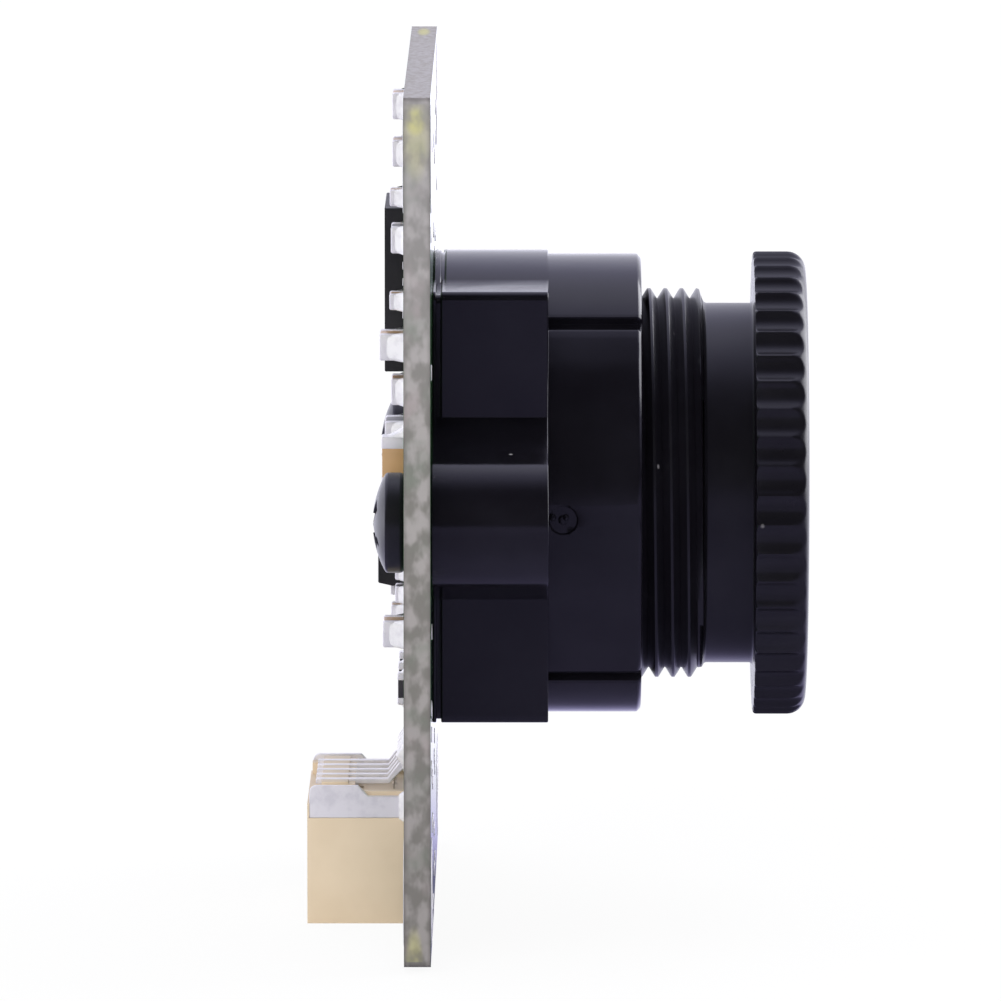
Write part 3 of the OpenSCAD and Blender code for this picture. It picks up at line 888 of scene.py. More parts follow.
@dataclass
class LensBarrel:
    """The focus barrel: fine thread, plain neck, knurled head and front recess."""

    rear: float = 3.1
    thread_end: float = 8.22
    crest: float = 8.1
    pitch: float = 0.5
    thread_r: float = 5.97
    root_r: float = 5.66
    flat: float = 0.1
    tooth_round: float = 0.02
    fade_rear: float = 0.35
    fade_front: float = 0.1
    thread_steps: int = 128
    thread_start_deg: float = 90.0
    turned_steps: int = 256
    neck_r: float = 5.52
    neck_run: float = 0.12
    neck_corner: float = 0.12
    head_back: float = 9.78
    head_front: float = 11.38
    head_r: float = 7.1
    head_flat_r: float = 6.3
    head_round: float = 0.55
    back_round: float = 0.1
    knurls: int = 50
    knurl_points: int = 16
    knurl_r: float = 0.62
    knurl_depth: float = 0.17
    knurl_crest: float = 0.045
    bore_r: float = 4.5
    mouth_r: float = 5.0
    mouth_round: float = 0.06
    ring_top: float = 10.95
    seat: float = 8.4
    seat_back: float = 7.6
    seat_r: float = 3.3
    rear_bore_r: float = 3.8
    finish: MouldedPlastic = MouldedPlastic("barrel_plastic", (0.0045, 0.004, 0.006), 0.3, 0.5, 1.4, 0.003,
                                            tint=(0.007, 0.0065, 0.0095), dust=0.4)

    def build(self) -> None:
        """Builds the barrel as one piece of four joined skins."""
        form = Form()
        self._thread(form)
        self._neck(form)
        self._head(form)
        self._inside(form)
        form.weld(0.002)
        form.piece("focus_barrel", Body.BARREL, [self.finish.make()], ["lens_barrel"], "barrel_plastic", 38.0)

    def _tooth(self, start: float) -> list[Point]:
        """Half section of one thread tooth round an axial place, from root to root, with soft corners."""
        half, flat, soft = self.pitch / 2, self.flat / 2, self.tooth_round
        rise = [(self.root_r, half), (self.root_r + soft, half - soft), (self.thread_r - soft, flat + 0.012),
                (self.thread_r, flat - 0.012)]
        return [(r, start - x) for r, x in rise] + [(r, start + x) for r, x in reversed(rise)]

    def _thread(self, form: Form) -> None:
        """Winds the right-handed thread and fades it out at both ends.

        Args:
            form: The mesh that takes it.
        """
        turns = math.ceil((self.thread_end - self.rear) / self.pitch) + 2
        tooth = self._tooth(self.crest - (turns - 1) * self.pitch)
        lead = math.radians(self.thread_start_deg)
        turn = bmesh.new()
        verts = [turn.verts.new(Vector((x, r * math.cos(lead), r * math.sin(lead))) * MM) for r, x in tooth]
        edges = [turn.edges.new(pair) for pair in zip(verts, verts[1:])]
        bmesh.ops.spin(turn, geom=verts + edges, cent=(0.0, 0.0, 0.0), axis=(1.0, 0.0, 0.0), angle=math.tau,
                       steps=self.thread_steps, dvec=(self.pitch / self.thread_steps * MM, 0.0, 0.0),
                       use_merge=False)
        form.take(turn, [(number * self.pitch, 0.0, 0.0) for number in range(turns)])
        form.weld(0.002)
        for vert in form.bm.verts:
            x, r = vert.co.x / MM, math.hypot(vert.co.y, vert.co.z) / MM
            ends = min((x - self.rear) / self.fade_rear, (self.thread_end - x) / self.fade_front, 1.0)
            wanted = self.root_r + (r - self.root_r) * max(ends, 0.0)
            vert.co.x = min(max(x, self.rear), self.thread_end) * MM
            vert.co.y *= wanted / r
            vert.co.z *= wanted / r

    def _neck(self, form: Form) -> None:
        """Turns the neck, with a small round where it meets the head."""
        corner = self.neck_corner
        root = arc_points((self.neck_r + corner, self.head_back - corner), corner, 180, 90, 6)
        run_out = [(self.root_r, self.thread_end),
                   (self.neck_r + 0.03, self.thread_end + self.neck_run / 2),
                   (self.neck_r, self.thread_end + self.neck_run)]
        form.spun(run_out + root + [(self.head_flat_r, self.head_back)], self.turned_steps)

    def _flute(self, angle: float) -> float:
        """How far out the knurling leaves material at an angle.

        Args:
            angle: The angle about the axis.

        Returns:
            The radius of the groove wall, in mm, or infinity on a land.
        """
        centre = self.head_r - self.knurl_depth + self.knurl_r
        step = math.tau / self.knurls
        local = (angle + step / 2) % step - step / 2
        reach = self.knurl_r ** 2 - (centre * math.sin(local)) ** 2
        return centre * math.cos(local) - math.sqrt(reach) if reach > 0.0 else math.inf

    def _outline(self, r: float) -> Callable[[float], float]:
        """Outline of the head where its plain radius is r, with a soft crest on each ridge."""
        def radius(angle: float) -> float:
            """Radius at one angle."""
            wall = self._flute(angle)
            blend = max(self.knurl_crest - abs(wall - r), 0.0) / self.knurl_crest
            return min(r, wall) - blend * blend * self.knurl_crest * 0.25
        return radius

    def _head(self, form: Form) -> None:
        """Builds the knurled head from rings that follow the grooves."""
        back = arc_points((self.head_r - self.back_round, self.head_back + self.back_round),
                          self.back_round, 270, 360, 3)
        front = arc_points((self.head_r - self.head_round, self.head_front - self.head_round),
                           self.head_round, 0, 90, 9)
        section = ([(self.head_flat_r, self.head_back), (self.head_r - 0.14, self.head_back)] + back
                   + front + [(self.head_flat_r, self.head_front),
                              (self.mouth_r + self.mouth_round, self.head_front)])
        form.ringed([(x, self._outline(r)) for r, x in section], self.knurls * self.knurl_points)

    def _inside(self, form: Form) -> None:
        """Turns the front recess, with a soft lip, and the seats behind it."""
        soft, front = self.mouth_round, self.head_front
        form.spun([(self.mouth_r + soft, front), (self.mouth_r + soft / 4, front - soft / 4),
                   (self.mouth_r, front - soft), (self.bore_r + 0.02, self.ring_top + 0.04),
                   (self.bore_r, self.ring_top - 0.02), (self.bore_r, self.seat), (self.seat_r, self.seat),
                   (self.seat_r, self.seat_back), (self.rear_bore_r, self.seat_back),
                   (self.rear_bore_r, self.rear), (self.root_r, self.rear)], self.knurls * self.knurl_points)


@dataclass
class LensStack:
    """Everything that the barrel carries: three glasses, their rings, the stop and the spacer."""

    steps: int = 128
    front_rim_r: float = 4.47
    rear_rim_r: float = 3.77
    rounding: Rounding = Rounding(0.03, 2, 30.0, 40.0)
    front_glass: CoatedGlass = CoatedGlass("front_glass", coat=(0.42, 0.35, 0.98))
    inner_glass: CoatedGlass = CoatedGlass("inner_glass", coat=(0.35, 0.8, 0.6))
    ring_finish: MouldedPlastic = MouldedPlastic("ring_black", (0.006, 0.006, 0.008), 0.42, 0.4)
    stop_finish: MouldedPlastic = MouldedPlastic("stop_foil", (0.004, 0.004, 0.005), 0.5, 0.3)

    def build(self) -> None:
        """Builds the glasses and dresses the rings."""
        inner = self.inner_glass.make()
        self._glass("front_glass", "front_element", self.front_glass.make(), self.front_rim_r,
                    cap_points(3.2, 4.5, 8.4, 1), cap_points(3.9, 9.5, 10.2, 1))
        self._glass("middle_glass", "middle_element", inner, self.rear_rim_r,
                    [(0.0, 6.5)], cap_points(3.2, 7.0, 7.6, 1))
        self._glass("rear_glass", "rear_element", inner, self.rear_rim_r,
                    cap_points(2.9, 7.0, 3.91, -1), cap_points(2.9, 8.0, 5.0, -1))
        ring = self.ring_finish.make()
        for node in ("front_ring", "rear_ring", "lens_spacer"):
            dressed_copy(node, f"{node}_turned", ring, "ring_black", self.rounding)
        dress_cad(["aperture_stop"], self.stop_finish)

    def _glass(self, name: str, node: str, finish: bpy.types.Material, rim_r: float, rear: list[Point],
               front: list[Point]) -> None:
        """Spins one glass from its two faces and its rim.

        Args:
            name: The piece's name.
            node: The CAD node that it stands for.
            finish: Its material.
            rim_r: Radius of its rim.
            rear: Its rear face, from the edge to the middle.
            front: Its front face, from the edge to the middle.
        """
        form = Form()
        form.spun([*reversed(rear), (rim_r, rear[0][1]), (rim_r, front[0][1]), *front], self.steps)
        form.weld()
        form.piece(name, body_of(node), [finish], [node], "lens_glass", 30.0)


@dataclass
class HolderScrews:
    """Two black pan-head screws through the board."""

    rounding: Rounding = Rounding(0.06, 3)
    finish: MouldedPlastic = MouldedPlastic("screw_black", (0.006, 0.006, 0.0075), 0.3, 0.6, 0.5, 0.006,
                                            tint=(0.012, 0.012, 0.014))

    def build(self) -> None:
        """Builds both screws from their CAD solids."""
        dressed_copy("holder_screws", "pan_screws", self.finish.make(), "screw_black", self.rounding)


# ---------------------------------------------------------------------------------------------------------
# Wire socket
# ---------------------------------------------------------------------------------------------------------


@dataclass
class WireSocket:
    """The ivory socket with its contacts, solder tabs and their solder."""

    board_back: float = -0.8
    back_z: float = -8.9
    contacts: int = 5
    pitch: float = 1.0
    tab_at: float = 3.55
    rib_from: float = 0.42
    rib_to: float = 1.25
    rib_half: float = 0.3
    rib_rise: float = 0.06
    rib_depth: float = 0.4
    rib_edge: float = 0.03
    film: float = 0.02
    tab_rounding: Rounding = Rounding(0.035)
    contact_rounding: Rounding = Rounding(0.03)
    nylon: MouldedPlastic = MouldedPlastic("socket_ivory", (0.74, 0.61, 0.445), 0.42, 0.4, 1.2, 0.006,
                                           tint=(0.69, 0.56, 0.40))

    def build(self, tin: bpy.types.Material, solder: bpy.types.Material) -> None:
        """Builds the housing, the metal and the solder.

        Args:
            tin: The metal's material.
            solder: The solder's material.
        """
        self._ribs(dress_cad(["socket_housing"], self.nylon))
        dressed_copy("socket_tabs", "socket_tabs_bent", tin, "tin", self.tab_rounding)
        dressed_copy("socket_contacts", "socket_contacts_bent", tin, "tin", self.contact_rounding)
        self._joints(solder)

    def _ribs(self, ivory: bpy.types.Material) -> None:
        """Stands a low rib on each side of every contact, along the wire side of the housing's top.

        Args:
            ivory: Their material.
        """
        low, high = node_box_mm("socket_housing")
        form = Form()
        for number in range(self.contacts + 1):
            y = (number - self.contacts / 2) * self.pitch
            form.block((low.x + self.rib_from, y - self.rib_half, high.z - self.rib_depth),
                       (low.x + self.rib_to, y + self.rib_half, high.z + self.rib_rise), self.rib_edge)
        form.piece("socket_ribs", Body.BASE, [ivory], slot="socket_ivory")

    def _joints(self, solder: bpy.types.Material) -> None:
        """Flows solder round every contact foot and tab foot.

        Args:
            solder: Its material.
        """
        form = Form()
        for number in range(self.contacts):
            y = (number - (self.contacts - 1) / 2) * self.pitch
            form.mound((y - 0.29, self.back_z + 0.12), (y + 0.29, self.back_z + 1.3), self.board_back,
                       self._foot_height, (12, 22))
        for y in (-self.tab_at, self.tab_at):
            form.mound((y - 0.42, self.back_z - 1.15), (y + 0.42, self.back_z - 0.12), self.board_back,
                       self._tab_height, (14, 14))
        form.piece("socket_solder", Body.BASE, [solder], slot="tin", sharp_deg=60.0, outward=False)

    def _foot_height(self, u: float, v: float) -> float:
        """Height of the solder over one contact's pad: full at the heel, drawn thin to the pad's rim."""
        side = 1.0 - abs(2 * u - 1) ** 3
        heel = math.exp(-((v - 0.5) / 0.2) ** 2)
        rim = min(1.0, v / 0.12, (1.0 - v) / 0.16)
        return self.film + 0.33 * side * max(rim, 0.0) * (0.35 + 0.65 * heel)

    def _tab_height(self, u: float, v: float) -> float:
        """Height of the solder over one tab's pad: highest along the tab's own wall."""
        wall = math.exp(-((u - 0.5) / 0.24) ** 2)
        rim = min(1.0, u / 0.1, (1.0 - u) / 0.1, v / 0.12, (1.0 - v) / 0.12)
        return self.film + 0.24 * wall * max(rim, 0.0)


# ---------------------------------------------------------------------------------------------------------
# Chips and packages
# ---------------------------------------------------------------------------------------------------------


@dataclass(frozen=True)
class ChipKind:
    """One kind of two-ended chip: its body finish, whose name goes to the piece's unused slot argument, and
    its ends.
    """

    prefix: str
    count: int
    finish: MouldedPlastic
    edge_mm: float = 0.06
    end_share: float = 0.24

    def nodes(self) -> list[str]:
        """The CAD nodes of this kind."""
        return [self.prefix] if self.count == 1 else [f"{self.prefix}_{n}" for n in range(1, self.count + 1)]


@dataclass
class ChipField:
    """All two-ended chips on the back, each with wrapped metal ends, pads and solder."""

    board_back: float = -0.8
    pad_reach: float = 0.42
    pad_spread: float = 0.06
    seat: float = 0.02
    climb: float = 0.8
    kinds: tuple[ChipKind, ...] = (
        ChipKind("capacitor", 10, MouldedPlastic("capacitor_tan", (0.56, 0.35, 0.17), 0.3, 0.5, 0.4, 0.004,
                                                 tint=(0.44, 0.27, 0.13))),
        ChipKind("resistor", 7, MouldedPlastic("resistor_black", (0.03, 0.028, 0.032), 0.3, 0.5, 0.4, 0.004,
                                               tint=(0.05, 0.046, 0.05))),
        ChipKind("inductor", 1, MouldedPlastic("coil_grey", (0.22, 0.21, 0.21), 0.42, 0.5, 0.2, 0.01,
                                               tint=(0.11, 0.105, 0.11)), 0.08),
    )

    def build(self, tin: bpy.types.Material, solder: bpy.types.Material) -> None:
        """Builds every chip and the solder at its ends.

        Args:
            tin: Material of the wrapped ends.
            solder: Material of the fillets.
        """
        joints = Form()
        for kind in self.kinds:
            body = kind.finish.make()
            for node in kind.nodes():
                self._chip(kind, node, [body, tin], joints)
        joints.piece("chip_solder", Body.BASE, [solder], slot="tin", sharp_deg=70.0, outward=False)

    def _chip(self, kind: ChipKind, node: str, finishes: list[bpy.types.Material], joints: Form) -> None:
        """Builds one chip and its two fillets.

        Args:
            kind: What it is.
            node: Its CAD node.
            finishes: Body and end material.
            joints: The mesh that takes its solder.
        """
        low, high = node_box_mm(node)
        size = high - low
        along = 1 if size.y > size.z else 2
        wrap = size[along] * kind.end_share
        inset = Vector((self.seat,) * 3)
        form = Form()
        form.block(low + inset, high - inset, kind.edge_mm * 0.6, 2)
        for side in (0, 1):
            end_low, end_high = low.copy(), high.copy()
            if side:
                end_low[along] = high[along] - wrap
            else:
                end_high[along] = low[along] + wrap
            form.block(end_low, end_high, kind.edge_mm, slot=1)
            self._fillet(low, high, along, side, joints)
        form.piece(f"{node}_part", Body.BASE, finishes, [node], kind.finish.name, 50.0)

    def _fillet(self, low: Vector, high: Vector, along: int, side: int, joints: Form) -> None:
        """Flows solder from a pad up one end of a chip.

        Args:
            low: The chip's lowest corner, in mm.
            high: Its highest corner, in mm.
            along: 1 where the chip lies along Y, 2 where it stands along Z.
            side: 0 at its low end and 1 at its high end.
            joints: The mesh that takes the solder.
        """
        tall = (high.x - low.x) * self.climb
        pad_low = [low.y - self.pad_spread, low.z - self.pad_spread]
        pad_high = [high.y + self.pad_spread, high.z + self.pad_spread]
        pad_low[along - 1] = (high[along] - self.seat) if side else (low[along] - self.pad_reach)
        pad_high[along - 1] = (high[along] + self.pad_reach) if side else (low[along] + self.seat)

        def height(u: float, v: float) -> float:
            """Height over the pad: steep at the chip's end, thin at the rim."""
            run, cross = (u, v) if along == 1 else (v, u)
            run = run if side else 1.0 - run
            side_fall = 1.0 - abs(2 * cross - 1) ** 6
            toe = min(1.0, (1.0 - run) / 0.08)
            return self.seat + (tall - self.seat) * side_fall * (1.0 - run) ** 2.2 * toe

        joints.mound(pad_low, pad_high, self.board_back, height, (12, 12))


@dataclass
class Packages:
    """The moulded packages and the crystal."""

    moulded: Rounding = Rounding(0.035)
    stamped: Rounding = Rounding(0.02)
    fired: Rounding = Rounding(0.05)
    drawn: Rounding = Rounding(0.04, 3)
    epoxy: MouldedPlastic = MouldedPlastic("chip_black", (0.016, 0.0155, 0.017), 0.46, 0.4, 0.25, 0.006,
                                           0.0025, tint=(0.024, 0.023, 0.025))
    ceramic: MouldedPlastic = MouldedPlastic("crystal_ceramic", (0.16, 0.12, 0.08), 0.5, 0.4,
                                             tint=(0.12, 0.09, 0.06))
    lid: TinnedMetal = TinnedMetal("crystal_metal", (0.72, 0.70, 0.66), (0.5, 0.48, 0.45), 0.34, 0.8, 0.003)

    def build(self, tin: bpy.types.Material) -> None:
        """Builds the packages.

        Args:
            tin: Material of pads and leads.
        """
        black = self.epoxy.make()
        for node in ("processor_chip", "memory_chip", "voltage_regulator"):
            dressed_copy(node, f"{node}_moulding", black, "chip_black", self.moulded)
        for node in ("processor_pads", "memory_pads", "regulator_leads"):
            dressed_copy(node, f"{node}_tinned", tin, "tin", self.stamped)
        dressed_copy("crystal_base", "crystal_tray", self.ceramic.make(), "crystal_ceramic", self.fired)
        dressed_copy("crystal_lid", "crystal_cover", self.lid.make(), "crystal_metal", self.drawn)


@dataclass
class Sensor:
    """The image sensor, its window and the infrared filter."""

    body: MouldedPlastic = MouldedPlastic("sensor_body", (0.03, 0.04, 0.03), 0.4, 0.5,
                                          tint=(0.04, 0.05, 0.04))
    window: CoatedGlass = CoatedGlass("sensor_window", coat=(0.7, 0.9, 0.8))
    filter_glass: CoatedGlass = CoatedGlass("filter_glass", (0.75, 0.95, 0.92), (0.95, 0.45, 0.4))

    def build(self) -> None:
        """Dresses the three nodes."""
        dress_cad(["image_sensor"], self.body)
        dress_cad(["sensor_glass"], self.window)
        dress_cad(["ir_filter"], self.filter_glass)


# ---------------------------------------------------------------------------------------------------------
# Circuit board
# ---------------------------------------------------------------------------------------------------------


@dataclass
class BoardDressing:
    """What lies on the board's two faces: tinned rings, vias, test pads and printed outlines."""

    front: float = 0.0
    back: float = -0.8
    hole_at: float = 11.0
    hole_r: float = 1.1
    ring_r: float = 1.62
    foil: float = 0.025
    foil_edge: float = 0.012
    print_w: float = 0.12
    print_t: float = 0.014
    print_edge: float = 0.004
    keep_out: float = 0.35
    tries: int = 150
    via_reach: float = 12.2
    via_gap: float = 0.85
    via_hole_r: float = 0.1
    via_r: float = 0.24
    pad_r: float = 0.45
    pads: tuple[Point, ...] = (
        (9.2, 3.4), (9.2, 5.2), (9.2, 7.0), (-9.2, 6.6), (-9.2, 8.2), (8.8, -5.4), (-8.6, -5.6))
    holder_half: float = 6.9
    ears_half_y: float = 12.3
    ears_half_z: float = 3.2
    screw_from: float = 8.2
    screw_to: float = 12.0
    screw_half: float = 1.9
    mask: SolderMask = SolderMask("board")
    marking: MouldedPlastic = MouldedPlastic("printed_white", (0.78, 0.78, 0.76), 0.6, 0.3, 0.3, 0.004,
                                             tint=(0.66, 0.66, 0.63))

    def build(self, tin: bpy.types.Material) -> None:
        """Dresses the board.

        Args:
            tin: Material of the tinned copper.
        """
        dress_cad(["circuit_board"], self.mask)
        self._copper(tin)
        self._printing()

    def _plate(self, form: Form, centre: Point, inner: float, outer: float, on_front: bool,
               steps: int) -> None:
        """Adds one flat ring of tinned copper.

        Args:
            form: The mesh that takes it.
            centre: Its place across and up the board.
            inner: Its inner radius.
            outer: Its outer radius.
            on_front: Whether it lies on the front face.
            steps: How many faces go round it.
        """
        face, out = (self.front, 1.0) if on_front else (self.back, -1.0)
        top, edge = face + out * self.foil, self.foil_edge
        soft = top - out * 0.008
        form.spun([(inner, face), (inner, soft), (inner + edge, top), (outer - edge, top), (outer, soft),
                   (outer, face)], steps, centre)

    def _copper(self, tin: bpy.types.Material) -> None:
        """Lays the hole rings, the vias and the test pads.

        Args:
            tin: Their material.
        """
        form = Form()
        ends = (-self.hole_at, self.hole_at)
        for on_front in (True, False):
            for y in ends:
                for z in ends:
                    self._plate(form, (y, z), self.hole_r, self.ring_r, on_front, 48)
        draw = random.Random(7)
        taken = self._taken()
        laid = list(self.pads)
        for _ in range(self.tries):
            y, z = (draw.uniform(-self.via_reach, self.via_reach) for _ in range(2))
            on_front = draw.random() < 0.5
            if self._near_hole(y, z) or self._blocked(y, z, on_front, taken):
                continue
            if all(math.dist((y, z), other) >= self.via_gap for other in laid):
                laid.append((y, z))
                self._plate(form, (y, z), self.via_hole_r, self.via_r, on_front, 14)
        for pad in self.pads:
            self._plate(form, pad, 0.0, self.pad_r, False, 28)
        form.weld()
        form.piece("tinned_copper", Body.BASE, [tin], slot="tin")

    def _blocked(self, y: float, z: float, on_front: bool, taken: Sequence[Sequence[float]]) -> bool:
        """Whether a part stands on a place.

        Args:
            y: The place across the board.
            z: The place up the board.
            on_front: Whether it is on the front face.
            taken: The oblongs that are taken on the back.

        Returns:
            True under the holder or its ears, or inside a taken oblong.
        """
        if on_front:
            under_base = max(abs(y), abs(z)) < self.holder_half
            return under_base or abs(y) < self.ears_half_y and abs(z) < self.ears_half_z
        return any(a < y < b and c < z < d for a, b, c, d in taken)

    def _near_hole(self, y: float, z: float) -> bool:
        """Whether a place is too close to a corner hole."""
        return math.hypot(abs(y) - self.hole_at, abs(z) - self.hole_at) < self.ring_r + self.keep_out

    def _taken(self) -> list[tuple[float, float, float, float]]:
        """Oblongs on the back that parts stand on, as lowest and highest Y and Z with a margin."""
        gap = self.keep_out
        boxes = [node_box_mm(node) for node in frame["nodes"]]
        spots = [(low.y - gap, high.y + gap, low.z - gap, high.z + gap)
                 for low, high in boxes if high.x <= self.back + 0.01]
        return spots + [(-self.screw_to, -self.screw_from, -self.screw_half, self.screw_half),
                        (self.screw_from, self.screw_to, -self.screw_half, self.screw_half)]

    def _printing(self) -> None:
        """Prints the plain outlines of the larger parts."""
        form = Form()
        for node, margin, gap in (("processor_chip", 0.3, 0.55), ("memory_chip", 0.28, 0.0),
                                  ("crystal_base", 0.28, 0.0)):
            low, high = node_box_mm(node)
            self._frame(form, low.y - margin, high.y + margin, low.z - margin, high.z + margin, gap)
        low, high = node_box_mm("socket_housing")
        for start in (low.y - 0.45, high.y + 0.33):
            self._bar(form, start, start + self.print_w, low.z + 0.4, high.z + 0.2)
        form.piece("printed_outlines", Body.BASE, [self.marking.make()], sharp_deg=50.0)

    def _frame(self, form: Form, y0: float, y1: float, z0: float, z1: float, gap: float) -> None:
        """Prints an oblong outline, open in the middle of its sides where gap is set.

        Args:
            form: The mesh that takes it.
            y0: Its lowest Y.
            y1: Its highest Y.
            z0: Its lowest Z.
            z1: Its highest Z.
            gap: Share of each side that stays open.
        """
        half = self.print_w / 2
        for z in (z0, z1):
            for start, end in self._strokes(y0, y1, gap):
                self._bar(form, start - half, end + half, z - half, z + half)
        for y in (y0, y1):
            for start, end in self._strokes(z0, z1, gap):
                self._bar(form, y - half, y + half, start + half, end - half)

    @staticmethod
    def _strokes(start: float, end: float, gap: float) -> list[Point]:
        """One stroke, or the two that a gap in the middle leaves."""
        if gap <= 0.0:
            return [(start, end)]
        part = (end - start) * (1 - gap) / 2
        return [(start, start + part), (end - part, end)]

    def _bar(self, form: Form, y0: float, y1: float, z0: float, z1: float) -> None:
        """Prints one stroke on the back, a little sunk in the lacquer."""
        form.block((self.back - self.print_t, y0, z0), (self.back + 0.005, y1, z1), self.print_edge, 1)


# ---------------------------------------------------------------------------------------------------------
# Studio
# ---------------------------------------------------------------------------------------------------------


@dataclass(frozen=True)
class Lamp:
    """One square soft lamp."""

    name: str
    place: Colour
    aim: Colour
    side_m: float
    watts: float
    colour: Colour
    mirrored: bool

    def hang(self) -> None:
        """Hangs the lamp, hidden from the camera, and from gloss too where that doesn't mirror it."""
        data = bpy.data.lights.new(self.name, "AREA")
        data.size = self.side_m
        data.energy = self.watts
        data.color = self.colour
        lamp = bpy.data.objects.new(self.name, data)
        lamp.location = self.place
        lamp.rotation_mode = "QUATERNION"
        lamp.rotation_quaternion = (Vector(self.aim) - Vector(self.place)).to_track_quat("-Z", "Y")
        lamp.visible_glossy = self.mirrored
        lamp.visible_camera = False
        bpy.context.scene.collection.objects.link(lamp)


@dataclass
class Studio:
    """Floor, light and camera."""

    target_mm: tuple[float, float, float] = (2.04, 0.0, -0.56)
    distance_mm: float = 362.0
    azimuth_deg: float = 0.15
    elevation_deg: float = 7.0
    view_mm: float = 30.7527
    sensor_mm: float = 36.0
    even_light: float = 0.5
    even_colour: Colour = (0.95, 0.95, 1.0)
    white: Colour = (1.0, 1.0, 1.0)
    floor_half_m: float = 6.0
    floor_white: float = 0.93
    paper: Colour = (0.9, 0.9, 0.91)
    cool_air: Colour = (1.0, 0.98, 1.48)
    cool_ground: Colour = (1.02, 0.94, 1.7)
    cool_bright: Colour = (0.97, 0.97, 1.13)
    peak: float = 1.8
    air: tuple[Point, ...] = (
        (0.3, 0.02), (0.37, 0.05), (0.43, 0.2), (0.5, 0.46), (0.57, 0.68), (0.63, 0.84), (0.7, 0.8),
        (0.77, 0.72), (0.83, 0.85), (0.93, 1.0), (0.97, 1.22))
    ground: tuple[Point, ...] = (
        (-0.1, 0.22), (-0.045, 0.18), (-0.025, 0.2), (-0.015, 0.26), (-0.007, 0.21), (0.0, 0.14),
        (0.006, 0.18), (0.01, 0.43), (0.016, 0.76), (0.026, 1.1), (0.04, 1.55), (0.08, 1.7))
    lamps: tuple[Lamp, ...] = (
        Lamp("top_softbox", (0.02, 0.25, 0.5), (0.0, 0.03, 0.0), 0.56, 1.9, (0.93, 0.93, 1.0), False),
        Lamp("front_fill", (-0.16, -0.6, 0.16), (0.0, 0.0, 0.0), 0.7, 4.4, (1.0, 0.985, 0.97), False),
        Lamp("side_window", (0.41, 0.255, 0.14), (0.0, 0.0, 0.0), 0.45, 2.3, (0.96, 0.96, 1.0), True))

    def build(self) -> None:
        """Builds the whole studio."""
        self._camera()
        self._world()
        self._floor()
        for lamp in self.lamps:
            lamp.hang()
        bpy.context.scene.view_settings.view_transform = "Standard"

    def _camera(self) -> None:
        """Sets the long lens that looks almost level along the board's edge."""
        data = bpy.data.cameras.new("camera")
        data.sensor_width = self.sensor_mm
        data.lens = self.distance_mm / self.view_mm * self.sensor_mm
        data.clip_start = 0.01
        data.clip_end = 50.0
        eye = bpy.data.objects.new("camera", data)
        bpy.context.scene.collection.objects.link(eye)
        azimuth, elevation = math.radians(self.azimuth_deg), math.radians(self.elevation_deg)
        back = Vector((math.sin(azimuth) * math.cos(elevation), -math.cos(azimuth) * math.cos(elevation),
                       math.sin(elevation)))
        eye.location = (Vector(self.target_mm) + back * self.distance_mm) * MM
        eye.rotation_mode = "QUATERNION"
        eye.rotation_quaternion = (-back).to_track_quat("-Z", "Y")
        bpy.context.scene.camera = eye

    def _ramp(self, sheet: Sheet, place: Signal, levels: Sequence[Point],
              cool: Colour) -> bpy.types.NodeSocket:
        """The colour that glossy surfaces mirror along a row of levels, as a share of the peak.

        Args:
            sheet: The sheet that takes the ramp.
            place: Where along the row a ray falls.
            levels: Place and brightness of each level, the last place being the highest.
            cool: The tint of dim levels, which fades as they get bright.

        Returns:
            The colour's socket.
        """
        start, reach = levels[0][0], levels[-1][0] - levels[0][0]
        stops = []
        for at, level in levels:
            share = min(level, 1.0) ** 3
            tint = (dim + (bright - dim) * share for dim, bright in zip(cool, self.cool_bright))
            stops.append(((at - start) / reach, tuple(part * level / self.peak for part in tint)))
        along = (place - start) * (1.0 / reach)
        return sheet.node("ShaderNodeValToRGB", {"stops": stops}, {0: along}).outputs[0]

    def _world(self) -> None:
        """Even light for dull surfaces, a dark front and pale back for gloss, white for the camera."""
        world = bpy.data.worlds.new("studio")
        bpy.context.scene.world = world
        world.use_nodes = True
        sheet = Sheet("studio_air", world.node_tree)
        path = sheet.node("ShaderNodeLightPath")
        way = sheet.node("ShaderNodeTexCoord").outputs["Generated"]
        parts = sheet.node("ShaderNodeSeparateXYZ", inputs={0: way})
        depth, up = Signal(sheet, parts.outputs[1]), Signal(sheet, parts.outputs[2])
        mirrored = self._ramp(sheet, up.turned_from(depth * -1.0) * (1.0 / math.pi), self.air, self.cool_air)
        lights = ((self.even_colour, self.even_light), (mirrored, self.peak), (self.white, 1.0))
        skies = [sheet.node("ShaderNodeBackground", inputs={0: colour, 1: strength}).outputs[0]
                 for colour, strength in lights]
        self._by_ray(sheet, path, 1.0, skies)

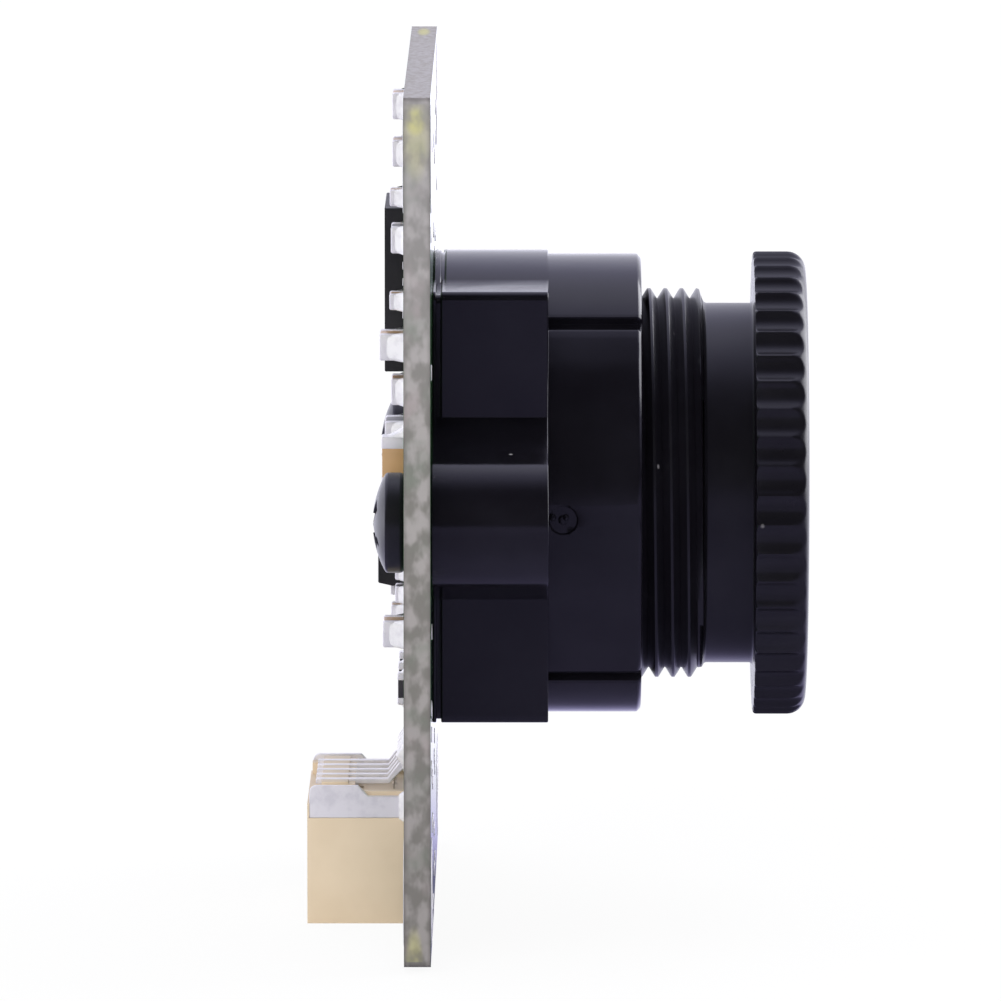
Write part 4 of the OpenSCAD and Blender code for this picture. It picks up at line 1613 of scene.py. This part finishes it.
    def _floor(self) -> None:
        """A wide pale floor just under the module, which keeps a soft shadow."""
        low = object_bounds()[0]
        bm = bmesh.new()
        bmesh.ops.create_grid(bm, x_segments=2, y_segments=2, size=self.floor_half_m)
        bmesh.ops.translate(bm, verts=bm.verts, vec=(0.0, 0.0, low.z))
        mesh = bpy.data.meshes.new("floor")
        bm.to_mesh(mesh)
        bm.free()
        mesh.materials.append(self._paper_sheet())
        floor = bpy.data.objects.new("floor", mesh)
        bpy.context.scene.collection.objects.link(floor)
        floor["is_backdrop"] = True

    def _paper_sheet(self) -> bpy.types.Material:
        """The floor's paper: white to the camera, dim under and before the module where gloss mirrors it."""
        sheet = Sheet("floor_paper")
        path = sheet.node("ShaderNodeLightPath")
        shade = self._ramp(sheet, sheet.y, self.ground, self.cool_ground)
        paper = sheet.node("ShaderNodeBsdfDiffuse", inputs={"Color": self.paper}).outputs[0]
        mirrored, white = (sheet.node("ShaderNodeEmission", inputs={0: colour, 1: strength}).outputs[0]
                           for colour, strength in ((shade, self.peak), (self.white, 1.0)))
        self._by_ray(sheet, path, self.floor_white, (paper, mirrored, white))
        return sheet.material

    @staticmethod
    def _by_ray(sheet: Sheet, path: bpy.types.Node, white_share: float,
                shaders: Sequence[bpy.types.NodeSocket]) -> None:
        """Closes a sheet with a shader for dull light, one for gloss, and one for the camera and clear glass.

        Args:
            sheet: The sheet.
            path: Its Light Path node.
            white_share: How much of the third shader those rays see.
            shaders: The three shaders, in that order.
        """
        camera, glossy, through = (Signal(sheet, path.outputs[f"Is {kind} Ray"])
                                   for kind in ("Camera", "Glossy", "Transmission"))
        lit = sheet.node("ShaderNodeMixShader", inputs={0: glossy, 1: shaders[0], 2: shaders[1]}).outputs[0]
        seen = sheet.node("ShaderNodeMixShader",
                          inputs={0: camera.larger(through) * white_share, 1: lit, 2: shaders[2]})
        sheet.tree.links.new(seen.outputs[0], sheet.out.inputs[0])


def dress_cad(names: Iterable[str], finish: Finish) -> bpy.types.Material:
    """Gives CAD nodes a finish.

    Args:
        names: The nodes.
        finish: The finish.

    Returns:
        The finish's material.
    """
    material = finish.make()
    for name in names:
        mesh = frame["nodes"][name].data
        mesh.materials.clear()
        mesh.materials.append(material)
        LOG.info("%s: dressed with %s", name, finish.name)
    return material


def main() -> None:
    """Builds every sub-assembly in order."""
    logging.basicConfig(level=logging.INFO, format="%(message)s")
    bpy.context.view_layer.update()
    Studio().build()
    tin = TinnedMetal("tin", (0.87, 0.85, 0.88), (0.76, 0.74, 0.78), 0.34, metallic=0.35).make()
    solder = TinnedMetal("solder", (0.95, 0.945, 0.96), (0.82, 0.81, 0.84), 0.22, 0.35, 0.008, 0.12).make()
    BoardDressing().build(tin)
    LensHolder().build()
    LensBarrel().build()
    LensStack().build()
    HolderScrews().build()
    Sensor().build()
    WireSocket().build(tin, solder)
    ChipField().build(tin, solder)
    Packages().build(tin)


if __name__ == "__main__":
    main()
